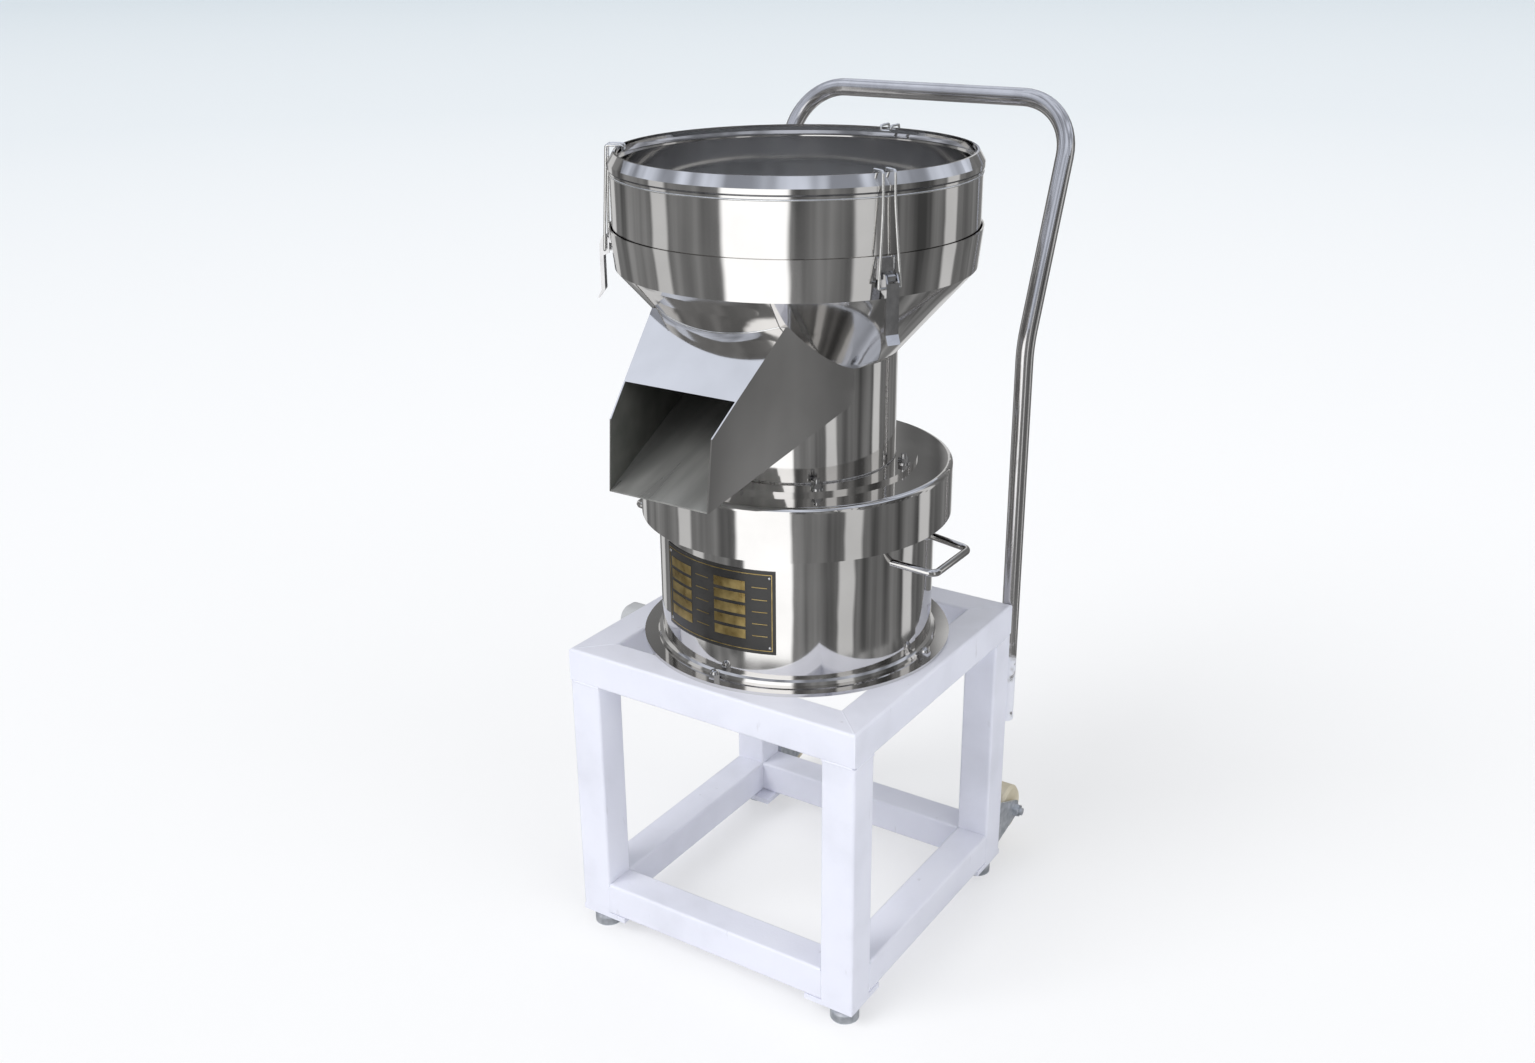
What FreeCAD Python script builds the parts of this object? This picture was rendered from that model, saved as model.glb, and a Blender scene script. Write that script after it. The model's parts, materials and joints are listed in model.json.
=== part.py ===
import FreeCAD, Part
import math
import os
import re

import Sketcher

# Single-deck vibrating filtration sieve with a 450 mm screen, on a four-legged stand.
# Millimetres. The machine axis is the Z axis, the floor is Z = 0, and the chute points to -Y.

# Driving sizes
SIZES = {
    # Stand of square tube
    "stand_width": 460,
    "stand_height": 430,
    "tube_size": 50,
    "tube_wall": 3,
    "tube_corner": 4,
    "foot_plate_size": 75,
    "foot_plate": 8,
    # Levelling feet
    "foot_lift": 24,
    "foot_disc_radius": 20,
    "foot_disc": 15,
    "foot_chamfer": 3,
    "foot_stud_radius": 6,
    "foot_stud_reach": 30,
    "lock_nut": 7,
    "lock_nut_flats": 19,
    # Base shell that carries the springs
    "flange_edge": 11,
    "base_flange": 4.6,
    "opening_inset": 30,
    "shell_inset": 15,
    "shell_wall": 2,
    "shell_height": 215,
    "shell_bead": 7,
    "seat_width": 45,
    "seat_plate": 5,
    "hold_down_stud": 5,
    "hold_down_flats": 14,
    "hold_down_nut": 9,
    "base_handle_rod": 5,
    "base_handle_feet": 112,
    "base_handle_grip": 100,
    "base_handle_reach": 58.1,
    "base_handle_bend": 12,
    "base_handle_height": 159,
    "base_handle_tilt": 5,
    "base_handle_root": 14,
    "nameplate_height": 118,
    "nameplate_sweep": 56,
    "nameplate_turn": -4,
    "nameplate_lift": 47.4,
    "nameplate_sheet": 1,
    # Springs under the vibrating cap
    "spring_count": 6,
    "spring_inset": 23,
    "spring_radius": 16,
    "spring_wire": 4,
    "spring_turns": 3,
    "spring_height": 41,
    # Cap
    "cap_overhang": 23,
    "cap_plate": 4.3,
    "cap_wall": 3,
    "cap_skirt": 72.8,
    "cap_edge": 7,
    # Bowl: neck, cone and band
    "neck_flange_radius": 165,
    "neck_flange": 4.7,
    "neck_radius": 135,
    "neck_height": 147,
    "cone_radius": 235,
    "cone_height": 112.5,
    "bowl_rim_radius": 240.8,
    "band_height": 52,
    "bowl_wall": 2,
    "ledge_drop": 29.5,
    "ledge_plate": 3,
    "ledge_inner_radius": 222,
    "neck_bolt_count": 6,
    "neck_bolt_ring": 152,
    "neck_bolt_radius": 4,
    "neck_bolt_flats": 13,
    "neck_bolt_nut": 6.5,
    "neck_bolt_stub": 5,
    "neck_bolt_turn": 42,
    "washer": 1.6,
    "washer_radius": 8.5,
    # Discharge chute, heights above the cap
    "chute_rear_half_width": 133.3,
    "chute_lip_half_width": 73.8,
    "chute_reach": 313,
    "chute_lip_height": 29.7,
    "chute_shoulder_reach": 303.7,
    "chute_shoulder_height": 119.7,
    "chute_knee_reach": 260.8,
    "chute_knee_height": 158.5,
    "chute_slope_reach": 181.7,
    "chute_slope_height": 228.2,
    "chute_wall": 2,
    "hood_low_turn": 26.5,
    "hood_high_turn": 24.7,
    "floor_rise": 93.9,
    # Screen and its gasket
    "gasket_height": 16,
    "gasket_lip": 2,
    "gasket_inner_radius": 227,
    "screen_inner_radius": 222,
    "mesh_sheet": 0.8,
    # Upper frame
    "frame_radius": 237,
    "frame_wall": 2,
    "frame_height": 107,
    "frame_groove": 1.2,
    "frame_bead_radius": 239,
    "frame_bead_drop": 20,
    "frame_shoulder_drop": 13.5,
    "frame_mouth_radius": 228.5,
    "frame_lip": 3,
    "frame_ring_inner_radius": 229,
    "frame_ring": 4,
    # Toggle latches
    "latch_count": 3,
    "latch_turn": 58,
    "latch_pivot_radius": 249,
    "latch_pivot_drop": 24.5,
    "latch_throw": 12,
    "latch_pin_radius": 2.5,
    "lever_width": 17,
    "lever_sheet": 2,
    "lever_depth": 8,
    "lever_ear": 5,
    "lever_ear_round": 4,
    "lever_length": 66,
    "lever_tip": 11,
    "bail_wire": 1.8,
    "bail_gap": 0.9,
    "bail_hook_depth": 3,
    "bail_hook_inset": 13,
    "bail_bend": 5,
    "bail_hook_bend": 3,
    "knuckle_width": 10,
    "bracket_width": 24,
    "bracket_height": 25,
    "bracket_plate": 2,
    # Motor with its two eccentric weights
    "motor_flange_radius": 100,
    "motor_flange": 6,
    "motor_radius": 75,
    "motor_edge": 8,
    "motor_length": 186,
    "motor_boss_radius": 55,
    "motor_boss": 29,
    "motor_bolt_count": 4,
    "motor_bolt_ring": 86,
    "motor_bolt_radius": 4,
    "shaft_radius": 12.5,
    "shaft_above": 60,
    "shaft_below": 230,
    "weight_radius": 60,
    "weight_hub_radius": 24,
    "weight_thickness": 20,
    "weight_gap": 10,
    # Push handle
    "handle_radius": 12.5,
    "handle_wall": 1.5,
    "handle_inset": 8,
    "handle_foot_height": 258,
    "handle_kink_height": 840,
    "handle_top_height": 1158,
    "handle_lean": 128,
    "handle_kink_bend": 120,
    "handle_corner_bend": 78,
    # Casters on the rear legs
    "caster_inset": 30,
    "caster_reach": 70,
    "caster_height": 64,
    "wheel_radius": 37.5,
    "wheel_width": 30,
    "wheel_edge": 4,
    "wheel_hub_radius": 14,
    "wheel_hub_width": 40,
    "axle_radius": 6,
    "axle_flats": 18,
    "axle_nut": 8,
    "axle_stub": 5,
    "fork_sheet": 3,
    "fork_plate": 4,
    "fork_top": 45,
    "fork_bottom": 30,
    "fork_eye": 12,
    "fork_eye_round": 9,
    # Switch box on the left rail
    "box_length": 48,
    "box_height": 80,
    "box_depth": 33,
    "box_corner": 18,
    "box_inner_corner": 15,
    "box_wall": 3,
    "box_shift": -35,
    "box_rise": -19,
    "lid_thickness": 12,
    "rocker_height": 22,
    "rocker_width": 14,
    "rocker_sunk": 6,
    "rocker_proud": 3,
    "rocker_back": 4,
    "rocker_dip": 1.5,
    "rocker_gap": 1,
    "rocker_pin": 1.5,
    "rocker_pin_reach": 2.5,
    "gland_bore": 4,
    "gland_flats": 20,
    "gland_hex": 7,
    "gland_nose": 12,
    "gland_nose_radius": 8,
    "gland_thread_radius": 8,
    "gland_thread": 8,
    # Clearances
    "pin_clearance": 0.05,
    "running_clearance": 0.4,
    "hole_clearance": 0.3,
}

doc = FreeCAD.newDocument("FiltrationSieve")
sheet = doc.addObject("Spreadsheet::Sheet", "Sizes")
for row, (alias, number) in enumerate(SIZES.items(), start=1):
    sheet.set(f"A{row}", alias)
    sheet.set(f"B{row}", str(number))
    sheet.setAlias(f"B{row}", alias)
doc.recompute()

# Heights along the machine axis, each built on the one below it
STAND_TOP = "foot_lift + stand_height"
SEAT_TOP = STAND_TOP + " + shell_height"
CAP_TOP = SEAT_TOP + " + spring_height + cap_plate"
# Heights above the top of the cap
NECK_TOP = "neck_flange + neck_height"
CONE_TOP = NECK_TOP + " + cone_height"
BOWL_RIM = CONE_TOP + " + band_height"
LEDGE_TOP = BOWL_RIM + " - ledge_drop"
FRAME_BOTTOM = LEDGE_TOP + " + gasket_height"
FRAME_TOP = FRAME_BOTTOM + " + frame_height"

# The base is bolted to the middle of the stand's rails, and the rest of it follows from there
LEG_OFFSET = "((stand_width - tube_size) / 2)"
FLANGE_RADIUS = f"({LEG_OFFSET} + flange_edge)"
SHELL_RADIUS = f"({LEG_OFFSET} - shell_inset)"
OPENING_RADIUS = f"({SHELL_RADIUS} - opening_inset)"
SEAT_INNER_RADIUS = f"({SHELL_RADIUS} - seat_width)"
SPRING_RING_RADIUS = f"({SHELL_RADIUS} - spring_inset)"
CAP_RADIUS = f"({SHELL_RADIUS} + cap_overhang)"
CASTER_OFFSET = "(stand_width / 2 - caster_inset)"

X_AXIS = FreeCAD.Vector(1, 0, 0)
Y_AXIS = FreeCAD.Vector(0, 1, 0)
Z_AXIS = FreeCAD.Vector(0, 0, 1)
nodes = []


# Helpers for the sheet

def size(alias):
    """The present value of one driving size."""
    return float(sheet.get(alias))


def sized(text):
    """The same expression, with each driving size named as a cell of the sheet."""
    return re.sub(r"[a-z_]+", lambda word: f"Sizes.{word[0]}" if word[0] in SIZES else word[0], text)


def bind(thing, sizes):
    """Ties properties of an object to expressions in the driving sizes."""
    for prop, text in sizes.items():
        thing.setExpression(prop, sized(text))


def place(thing, x="0", y="0", z="0", turn=0.0, axis=Z_AXIS):
    """Puts a piece at a place worked out from the sheet, turned about an axis through its origin."""
    thing.Placement = FreeCAD.Placement(FreeCAD.Vector(), FreeCAD.Rotation(axis, turn))
    bind(thing, {"Placement.Base.x": x, "Placement.Base.y": y, "Placement.Base.z": z})


def node(name, thing):
    """Marks an object as a sub-part: its label names its file."""
    thing.Label = name
    nodes.append(thing)
    return thing


# Helpers for bodies

def new_body(name):
    return doc.addObject("PartDesign::Body", name)


def new_sketch(body, name, plane, offset="0"):
    sketch = body.newObject("Sketcher::SketchObject", name)
    origin_plane = [feature for feature in body.Origin.OriginFeatures if feature.Role == plane][0]
    sketch.AttachmentSupport = (origin_plane, [""])
    sketch.MapMode = "FlatFace"
    bind(sketch, {"AttachmentOffset.Base.z": offset})
    return sketch


def trace(sketch, corners, closed=True):
    """Draws straight lines through corners given as expressions, with a round where a third one is given."""
    first = len(sketch.Geometry)
    count = len(corners)
    lines = count if closed else count - 1
    rough = []
    for index in range(count):
        angle = 2 * math.pi * index / count
        rough.append(FreeCAD.Vector(100 * math.cos(angle), 100 * math.sin(angle), 0))
    for index in range(lines):
        sketch.addGeometry(Part.LineSegment(rough[index], rough[(index + 1) % count]), False)
    joints = lines if closed else lines - 1
    for index in range(joints):
        following = first + (index + 1) % count
        sketch.addConstraint(Sketcher.Constraint("Coincident", first + index, 2, following, 1))
    for index, corner in enumerate(corners):
        line, end = (first + index, 1) if index < lines else (first + index - 1, 2)
        for kind, text in (("DistanceX", corner[0]), ("DistanceY", corner[1])):
            constraint = sketch.addConstraint(Sketcher.Constraint(kind, -1, 1, line, end, 1.0))
            sketch.setExpression(f"Constraints[{constraint}]", sized(text))
    doc.recompute()
    for index, corner in enumerate(corners):
        if len(corner) == 3:
            before = len(sketch.Geometry)
            radius = size(corner[2])
            sketch.fillet(first + index, 1, radius, True, True)
            arc = [item for item in range(before, len(sketch.Geometry))
                   if isinstance(sketch.Geometry[item], Part.ArcOfCircle)][0]
            constraint = sketch.addConstraint(Sketcher.Constraint("Radius", arc, radius))
            sketch.setExpression(f"Constraints[{constraint}]", sized(corner[2]))
    return sketch


def ring(sketch, x, y, radius):
    """Draws a circle whose centre and radius are expressions."""
    index = sketch.addGeometry(Part.Circle(FreeCAD.Vector(1, 1, 0), Z_AXIS, 1), False)
    for kind, text in (("DistanceX", x), ("DistanceY", y)):
        constraint = sketch.addConstraint(Sketcher.Constraint(kind, -1, 1, index, 3, 1.0))
        sketch.setExpression(f"Constraints[{constraint}]", sized(text))
    constraint = sketch.addConstraint(Sketcher.Constraint("Radius", index, 1.0))
    sketch.setExpression(f"Constraints[{constraint}]", sized(radius))
    return sketch


def pad(body, sketch, length, midplane=False):
    feature = body.newObject("PartDesign::Pad", "Pad")
    feature.Profile = sketch
    feature.Midplane = midplane
    bind(feature, {"Length": length})
    doc.recompute()
    return feature


def pocket(body, sketch, length, midplane=False, along_normal=False):
    """Cuts a sketch out of the body and makes sure that something was cut."""
    before = body.Shape.Volume
    feature = body.newObject("PartDesign::Pocket", "Pocket")
    feature.Profile = sketch
    feature.Midplane = midplane
    feature.Reversed = along_normal
    bind(feature, {"Length": length})
    doc.recompute()
    if body.Shape.Volume >= before:
        raise RuntimeError(f"{body.Name}: the pocket {sketch.Name} cuts nothing")
    return feature


def mirror(body, features):
    """Repeats features on the other side of the body's YZ plane."""
    mirrored = body.newObject("PartDesign::Mirrored", "OtherSide")
    mirrored.Originals = features
    mirror_plane = [item for item in body.Origin.OriginFeatures if item.Role == "YZ_Plane"][0]
    mirrored.MirrorPlane = (mirror_plane, [""])
    body.Tip = mirrored
    doc.recompute()
    return mirrored


def around(body, feature, count):
    """Repeats a feature round the body's upright axis."""
    pattern = body.newObject("PartDesign::PolarPattern", "Pattern")
    pattern.Originals = [feature]
    pattern.Axis = (feature.Profile[0], ["N_Axis"])
    pattern.Angle = 360
    bind(pattern, {"Occurrences": count})
    body.Tip = pattern
    doc.recompute()
    return pattern


def revolve(body, sketch, angle="360", midplane=False, axis="V_Axis"):
    feature = body.newObject("PartDesign::Revolution", "Revolution")
    feature.Profile = sketch
    feature.ReferenceAxis = (sketch, [axis])
    feature.Midplane = midplane
    bind(feature, {"Angle": angle})
    doc.recompute()
    return feature


def pipe(body, section, path):
    """Sweeps a section along a path."""
    feature = body.newObject("PartDesign::AdditivePipe", "Pipe")
    feature.Profile = section
    feature.Spine = (path, [])
    doc.recompute()
    return feature


def turned(name, corners, z="0"):
    """A round piece: an outline of (radius, height) corners turned about the machine axis."""
    body = new_body(name)
    revolve(body, trace(new_sketch(body, "Outline", "XZ_Plane"), corners))
    place(body, z=z)
    return body


def prism(name, plane, corners, length, offset="0", midplane=True):
    """A straight extrusion of an outline."""
    body = new_body(name)
    pad(body, trace(new_sketch(body, "Outline", plane, offset), corners), length, midplane)
    return body


# Helpers for bent rods and tubes

def bent_wire(points, bends):
    """Path through points in space, with an arc of the given radius at each inner point."""
    edges = []
    start = points[0]
    for before, corner, after, bend in zip(points, points[1:], points[2:], bends):
        back = (before - corner).normalize()
        ahead = (after - corner).normalize()
        half_angle = back.getAngle(ahead) / 2
        run = bend / math.tan(half_angle)
        middle = (back + ahead).normalize()
        entry = corner + back * run
        leave = corner + ahead * run
        summit = corner + middle * (bend / math.sin(half_angle) - bend)
        edges.append(Part.LineSegment(start, entry).toShape())
        edges.append(Part.Arc(entry, summit, leave).toShape())
        start = leave
    edges.append(Part.LineSegment(start, points[-1]).toShape())
    return Part.Wire(edges)


def rod_along(path, direction, radius):
    """Round bar swept along a path whose first run has the given direction."""
    circle = Part.Wire(Part.Circle(path.OrderedVertexes[0].Point, direction, radius).toShape())
    return path.makePipeShell([circle], True, False)


# Helpers for primitives

def cylinder(name, radius, height, x="0", y="0", z="0"):
    thing = doc.addObject("Part::Cylinder", name)
    bind(thing, {"Radius": radius, "Height": height})
    place(thing, x, y, z)
    return thing


def hexagon(name, flats, height, x="0", y="0", z="0"):
    thing = doc.addObject("Part::Prism", name)
    thing.Polygon = 6
    bind(thing, {"Circumradius": f"({flats}) / sqrt(3)", "Height": height})
    place(thing, x, y, z)
    return thing


def cut(name, base, tool):
    thing = doc.addObject("Part::Cut", name)
    thing.Base = base
    thing.Tool = tool
    return thing


def fuse(name, *shapes):
    thing = doc.addObject("Part::MultiFuse", name)
    thing.Shapes = list(shapes)
    return thing


def common(name, *shapes):
    thing = doc.addObject("Part::MultiCommon", name)
    thing.Shapes = list(shapes)
    return thing


def group(name, members):
    """One node that holds several identical pieces as separate solids."""
    thing = doc.addObject("Part::Compound", name)
    thing.Links = members
    return node(name, thing)


# Stand

def tube_section(sketch, x="0", y="0"):
    """Square tube with rounded outer corners."""
    half = "tube_size / 2"
    inner = "(tube_size / 2 - tube_wall)"
    outer_corners = []
    inner_corners = []
    for side_x, side_y in (("-", "-"), ("+", "-"), ("+", "+"), ("-", "+")):
        outer_corners.append((f"{x} {side_x} {half}", f"{y} {side_y} {half}", "tube_corner"))
        inner_corners.append((f"{x} {side_x} {inner}", f"{y} {side_y} {inner}"))
    trace(sketch, outer_corners)
    return trace(sketch, inner_corners)


CORNERS = {
    "front_left": ("-", "-"),
    "front_right": ("", "-"),
    "rear_left": ("-", ""),
    "rear_right": ("", ""),
}
SIDES = {"front": 0, "right": 90, "rear": 180, "left": 270}


def make_stand():
    for corner, (sign_x, sign_y) in CORNERS.items():
        leg = new_body(f"leg_{corner}")
        pad(leg, tube_section(new_sketch(leg, "Section", "XY_Plane")), "stand_height - foot_plate - tube_size")
        place(leg, f"{sign_x}{LEG_OFFSET}", f"{sign_y}{LEG_OFFSET}", "foot_lift + foot_plate")
        node(f"leg_{corner}", leg)

    for side, turn in SIDES.items():
        rail = new_body(f"top_rail_{side}")
        pad(rail, tube_section(new_sketch(rail, "Section", "YZ_Plane"), x=f"-{LEG_OFFSET}"), "stand_width", True)
        mitres = new_sketch(rail, "Mitres", "XY_Plane")
        for sign in ("", "-"):
            trace(mitres, [
                (f"{sign}(stand_width + tube_size) / 2", "-(stand_width + tube_size) / 2"),
                (f"{sign}(stand_width + tube_size) / 2", "-(stand_width - tube_size * 3) / 2"),
                (f"{sign}(stand_width - tube_size * 3) / 2", "-(stand_width - tube_size * 3) / 2"),
            ])
        pocket(rail, mitres, "tube_size * 2", midplane=True)
        bolt_hole = ring(new_sketch(rail, "BoltHole", "XY_Plane"), "0", f"-{LEG_OFFSET}",
                         "hold_down_stud + hole_clearance")
        pocket(rail, bolt_hole, "tube_size", along_normal=True)
        place(rail, z=f"{STAND_TOP} - tube_size / 2", turn=turn)
        node(f"top_rail_{side}", rail)

    for side, turn in SIDES.items():
        rail = new_body(f"bottom_rail_{side}")
        section = tube_section(new_sketch(rail, "Section", "YZ_Plane"), x=f"-{LEG_OFFSET}")
        pad(rail, section, "stand_width - tube_size * 2", True)
        place(rail, z="foot_lift + foot_plate + tube_size / 2", turn=turn)
        node(f"bottom_rail_{side}", rail)


def make_feet():
    plates = []
    nuts = []
    for corner, (sign_x, sign_y) in CORNERS.items():
        x = f"{sign_x}{LEG_OFFSET}"
        y = f"{sign_y}{LEG_OFFSET}"
        plate = doc.addObject("Part::Box", f"plate_{corner}")
        bind(plate, {"Length": "foot_plate_size", "Width": "foot_plate_size", "Height": "foot_plate"})
        low_x = "-stand_width / 2" if sign_x else "stand_width / 2 - foot_plate_size"
        low_y = "-stand_width / 2" if sign_y else "stand_width / 2 - foot_plate_size"
        place(plate, low_x, low_y, "foot_lift")
        hole = cylinder(f"plate_hole_{corner}", "foot_stud_radius + pin_clearance", "foot_plate", x, y, "foot_lift")
        plates.append(cut(f"drilled_plate_{corner}", plate, hole))

        nut_bottom = "foot_lift - lock_nut"
        nut = hexagon(f"nut_{corner}", "lock_nut_flats", "lock_nut", x, y, nut_bottom)
        bore = cylinder(f"nut_bore_{corner}", "foot_stud_radius + pin_clearance", "lock_nut", x, y, nut_bottom)
        nuts.append(cut(f"bored_nut_{corner}", nut, bore))

        foot = turned(f"levelling_foot_{corner}", [
            ("0", "0"),
            ("foot_disc_radius", "0"),
            ("foot_disc_radius", "foot_disc - foot_chamfer"),
            ("foot_disc_radius - foot_chamfer", "foot_disc"),
            ("foot_stud_radius", "foot_disc"),
            ("foot_stud_radius", "foot_lift + foot_stud_reach"),
            ("0", "foot_lift + foot_stud_reach"),
        ])
        place(foot, x, y)
        node(f"levelling_foot_{corner}", foot)
    group("foot_plates", plates)
    group("foot_lock_nuts", nuts)


# Base shell and what is on it

def make_base_shell():
    inner = f"{SHELL_RADIUS} - shell_wall"
    shell = turned("base_shell", [
        (OPENING_RADIUS, "0"),
        (FLANGE_RADIUS, "0"),
        (FLANGE_RADIUS, "base_flange"),
        (f"{SHELL_RADIUS} + shell_bead", "base_flange"),
        (f"{SHELL_RADIUS} + shell_bead", "base_flange + shell_bead * 0.3"),
        (f"{SHELL_RADIUS} + shell_bead * 0.7", "base_flange + shell_bead * 0.8"),
        (SHELL_RADIUS, "base_flange + shell_bead"),
        (SHELL_RADIUS, "shell_height"),
        (SEAT_INNER_RADIUS, "shell_height"),
        (SEAT_INNER_RADIUS, "shell_height - seat_plate"),
        (inner, "shell_height - seat_plate"),
        (inner, "base_flange"),
        (OPENING_RADIUS, "base_flange"),
    ], STAND_TOP)
    hole = ring(new_sketch(shell, "BoltHole", "XY_Plane"), "0", f"-{LEG_OFFSET}", "hold_down_stud + hole_clearance")
    around(shell, pocket(shell, hole, "base_flange * 2", midplane=True), "4")
    node("base_shell", shell)


def make_hold_down_bolts():
    """Studs through flange and rail, each with an acorn nut."""
    bolts = []
    for side, turn in SIDES.items():
        body = new_body(f"hold_down_bolt_{side}")
        stud = ring(new_sketch(body, "Stud", "XY_Plane"), "0", f"-{LEG_OFFSET}", "hold_down_stud")
        pad(body, stud, "base_flange * 2 + tube_wall * 4", True)
        bolt = fuse(
            f"acorn_bolt_{side}",
            body,
            hexagon(f"acorn_hex_{side}", "hold_down_flats", "hold_down_nut", "0", f"-{LEG_OFFSET}", "base_flange"),
            dome(f"acorn_dome_{side}", "hold_down_flats * 0.45", "0", f"-{LEG_OFFSET}", "base_flange + hold_down_nut"),
        )
        place(bolt, z=STAND_TOP, turn=turn)
        bolts.append(bolt)
    group("hold_down_bolts", bolts)


def dome(name, radius, x="0", y="0", z="0"):
    thing = doc.addObject("Part::Sphere", name)
    thing.Angle1 = 0
    bind(thing, {"Radius": radius})
    place(thing, x, y, z)
    return thing


def make_base_handles():
    """Bent rods welded to the two sides of the shell."""
    for side, turn in (("right", 0), ("left", 180)):
        rod = new_body(f"handle_rod_{side}")
        path = trace(new_sketch(rod, "Path", "XY_Plane"), [
            ("-base_handle_root", "-base_handle_feet / 2"),
            ("base_handle_reach", "-base_handle_grip / 2", "base_handle_bend"),
            ("base_handle_reach", "base_handle_grip / 2", "base_handle_bend"),
            ("-base_handle_root", "base_handle_feet / 2"),
        ], closed=False)
        section = ring(new_sketch(rod, "Section", "YZ_Plane", "-base_handle_root"), "-base_handle_feet / 2", "0",
                       "base_handle_rod")
        pipe(rod, section, path)
        place(rod, f"{SHELL_RADIUS} - base_handle_root / 2", z="base_handle_height", turn=size("base_handle_tilt"),
              axis=Y_AXIS)
        shell_space = cylinder(f"handle_shell_{side}", SHELL_RADIUS, "shell_height")
        handle = cut(f"base_handle_{side}", rod, shell_space)
        place(handle, z=STAND_TOP, turn=turn)
        node(f"base_handle_{side}", handle)


def make_nameplate():
    plate = new_body("nameplate")
    outline = trace(new_sketch(plate, "Outline", "XZ_Plane"), [
        (f"{SHELL_RADIUS} + hole_clearance / 2", "0"),
        (f"{SHELL_RADIUS} + nameplate_sheet", "0"),
        (f"{SHELL_RADIUS} + nameplate_sheet", "nameplate_height"),
        (f"{SHELL_RADIUS} + hole_clearance / 2", "nameplate_height"),
    ])
    revolve(plate, outline, "nameplate_sweep", midplane=True)
    place(plate, z=f"{STAND_TOP} + nameplate_lift", turn=size("nameplate_turn") - 90)
    node("nameplate", plate)


def make_springs():
    """Compression springs of square wire between the seat of the shell and the cap."""
    springs = []
    count = int(size("spring_count"))
    for index in range(count):
        helix = doc.addObject("Part::Helix", f"helix_{index}")
        bind(helix, {"Radius": "spring_radius", "Height": "spring_height - spring_wire",
                     "Pitch": "(spring_height - spring_wire) / spring_turns"})
        section = doc.addObject("Part::Plane", f"wire_{index}")
        bind(section, {"Length": "spring_wire", "Width": "spring_wire"})
        place(section, "spring_radius - spring_wire / 2", z="-spring_wire / 2", turn=90, axis=X_AXIS)
        coil = doc.addObject("Part::Sweep", f"coil_{index}")
        coil.Sections = [section]
        coil.Spine = (helix, ["Edge1"])
        coil.Solid = True
        coil.Frenet = True
        angle = 360 / count * index
        place(coil, f"{SPRING_RING_RADIUS} * sin({angle})", f"-{SPRING_RING_RADIUS} * cos({angle})",
              f"{SEAT_TOP} + spring_wire / 2", angle)
        springs.append(coil)
    group("springs", springs)


# Vibrating deck

def make_cap():
    cap = turned("cap", [
        ("motor_boss_radius + hole_clearance", "-cap_plate"),
        (f"{CAP_RADIUS} - cap_wall", "-cap_plate"),
        (f"{CAP_RADIUS} - cap_wall", "-cap_skirt"),
        (CAP_RADIUS, "-cap_skirt"),
        (CAP_RADIUS, "0", "cap_edge"),
        ("motor_boss_radius + hole_clearance", "0"),
    ], CAP_TOP)
    neck_hole = new_sketch(cap, "NeckHole", "XY_Plane")
    ring(neck_hole, "neck_bolt_ring * sin(neck_bolt_turn)", "-neck_bolt_ring * cos(neck_bolt_turn)",
         "neck_bolt_radius + hole_clearance")
    around(cap, pocket(cap, neck_hole, "cap_plate * 3", midplane=True), "neck_bolt_count")
    motor_hole = ring(new_sketch(cap, "MotorHole", "XY_Plane"), "0", "-motor_bolt_ring",
                      "motor_bolt_radius + hole_clearance")
    around(cap, pocket(cap, motor_hole, "cap_plate * 3", midplane=True), "motor_bolt_count")
    node("cap", cap)


def band_inner(above_cone):
    """Inner radius of the slightly flared band at a height above the cone."""
    return f"(cone_radius - bowl_wall + (bowl_rim_radius - cone_radius) * ({above_cone}) / band_height)"


LEDGE_RADIUS = band_inner("band_height - ledge_drop")


def bowl_outside(name):
    """Solid that fills the bowl to its outer face, for trimming what is welded to it."""
    return turned(name, [
        ("0", "0"),
        ("neck_radius", "0"),
        ("neck_radius", NECK_TOP),
        ("cone_radius", CONE_TOP),
        ("bowl_rim_radius", BOWL_RIM),
        ("0", BOWL_RIM),
    ])


def bowl_inside(name):
    return turned(name, [
        ("0", "0"),
        ("neck_radius - bowl_wall", "0"),
        ("neck_radius - bowl_wall", NECK_TOP),
        ("cone_radius - bowl_wall", CONE_TOP),
        ("0", CONE_TOP),
    ])


def chute_half_width(reach, inset="0"):
    """Distance of the converging side walls from the middle at a distance ahead of the axis."""
    taper = "(chute_rear_half_width - chute_lip_half_width) / chute_reach"
    return f"(chute_rear_half_width - {taper} * ({reach}) - ({inset}))"


def floor_height(reach):
    """Height of the sloping floor's underside at a distance ahead of the axis."""
    return f"(chute_lip_height + floor_rise * (chute_reach - ({reach})) / chute_reach)"


FRONT_OF_CHUTE = "chute_reach + tube_size"
TOP_SLOPE = "((chute_slope_height - chute_knee_height) / (chute_knee_reach - chute_slope_reach))"


def top_height(reach, sunk="0"):
    """Height of the chute's sloping top plate at a distance ahead of the axis."""
    return f"(chute_knee_height + {TOP_SLOPE} * (chute_knee_reach - ({reach})) - ({sunk}))"


def chute_plan(name, inset, front, rear):
    """Upright prism between the converging side walls."""
    return prism(name, "XY_Plane", [
        (f"-{chute_half_width(front, inset)}", f"-({front})"),
        (chute_half_width(front, inset), f"-({front})"),
        (chute_half_width(rear, inset), f"-({rear})"),
        (f"-{chute_half_width(rear, inset)}", f"-({rear})"),
    ], f"({FRAME_TOP}) * 2")


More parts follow.
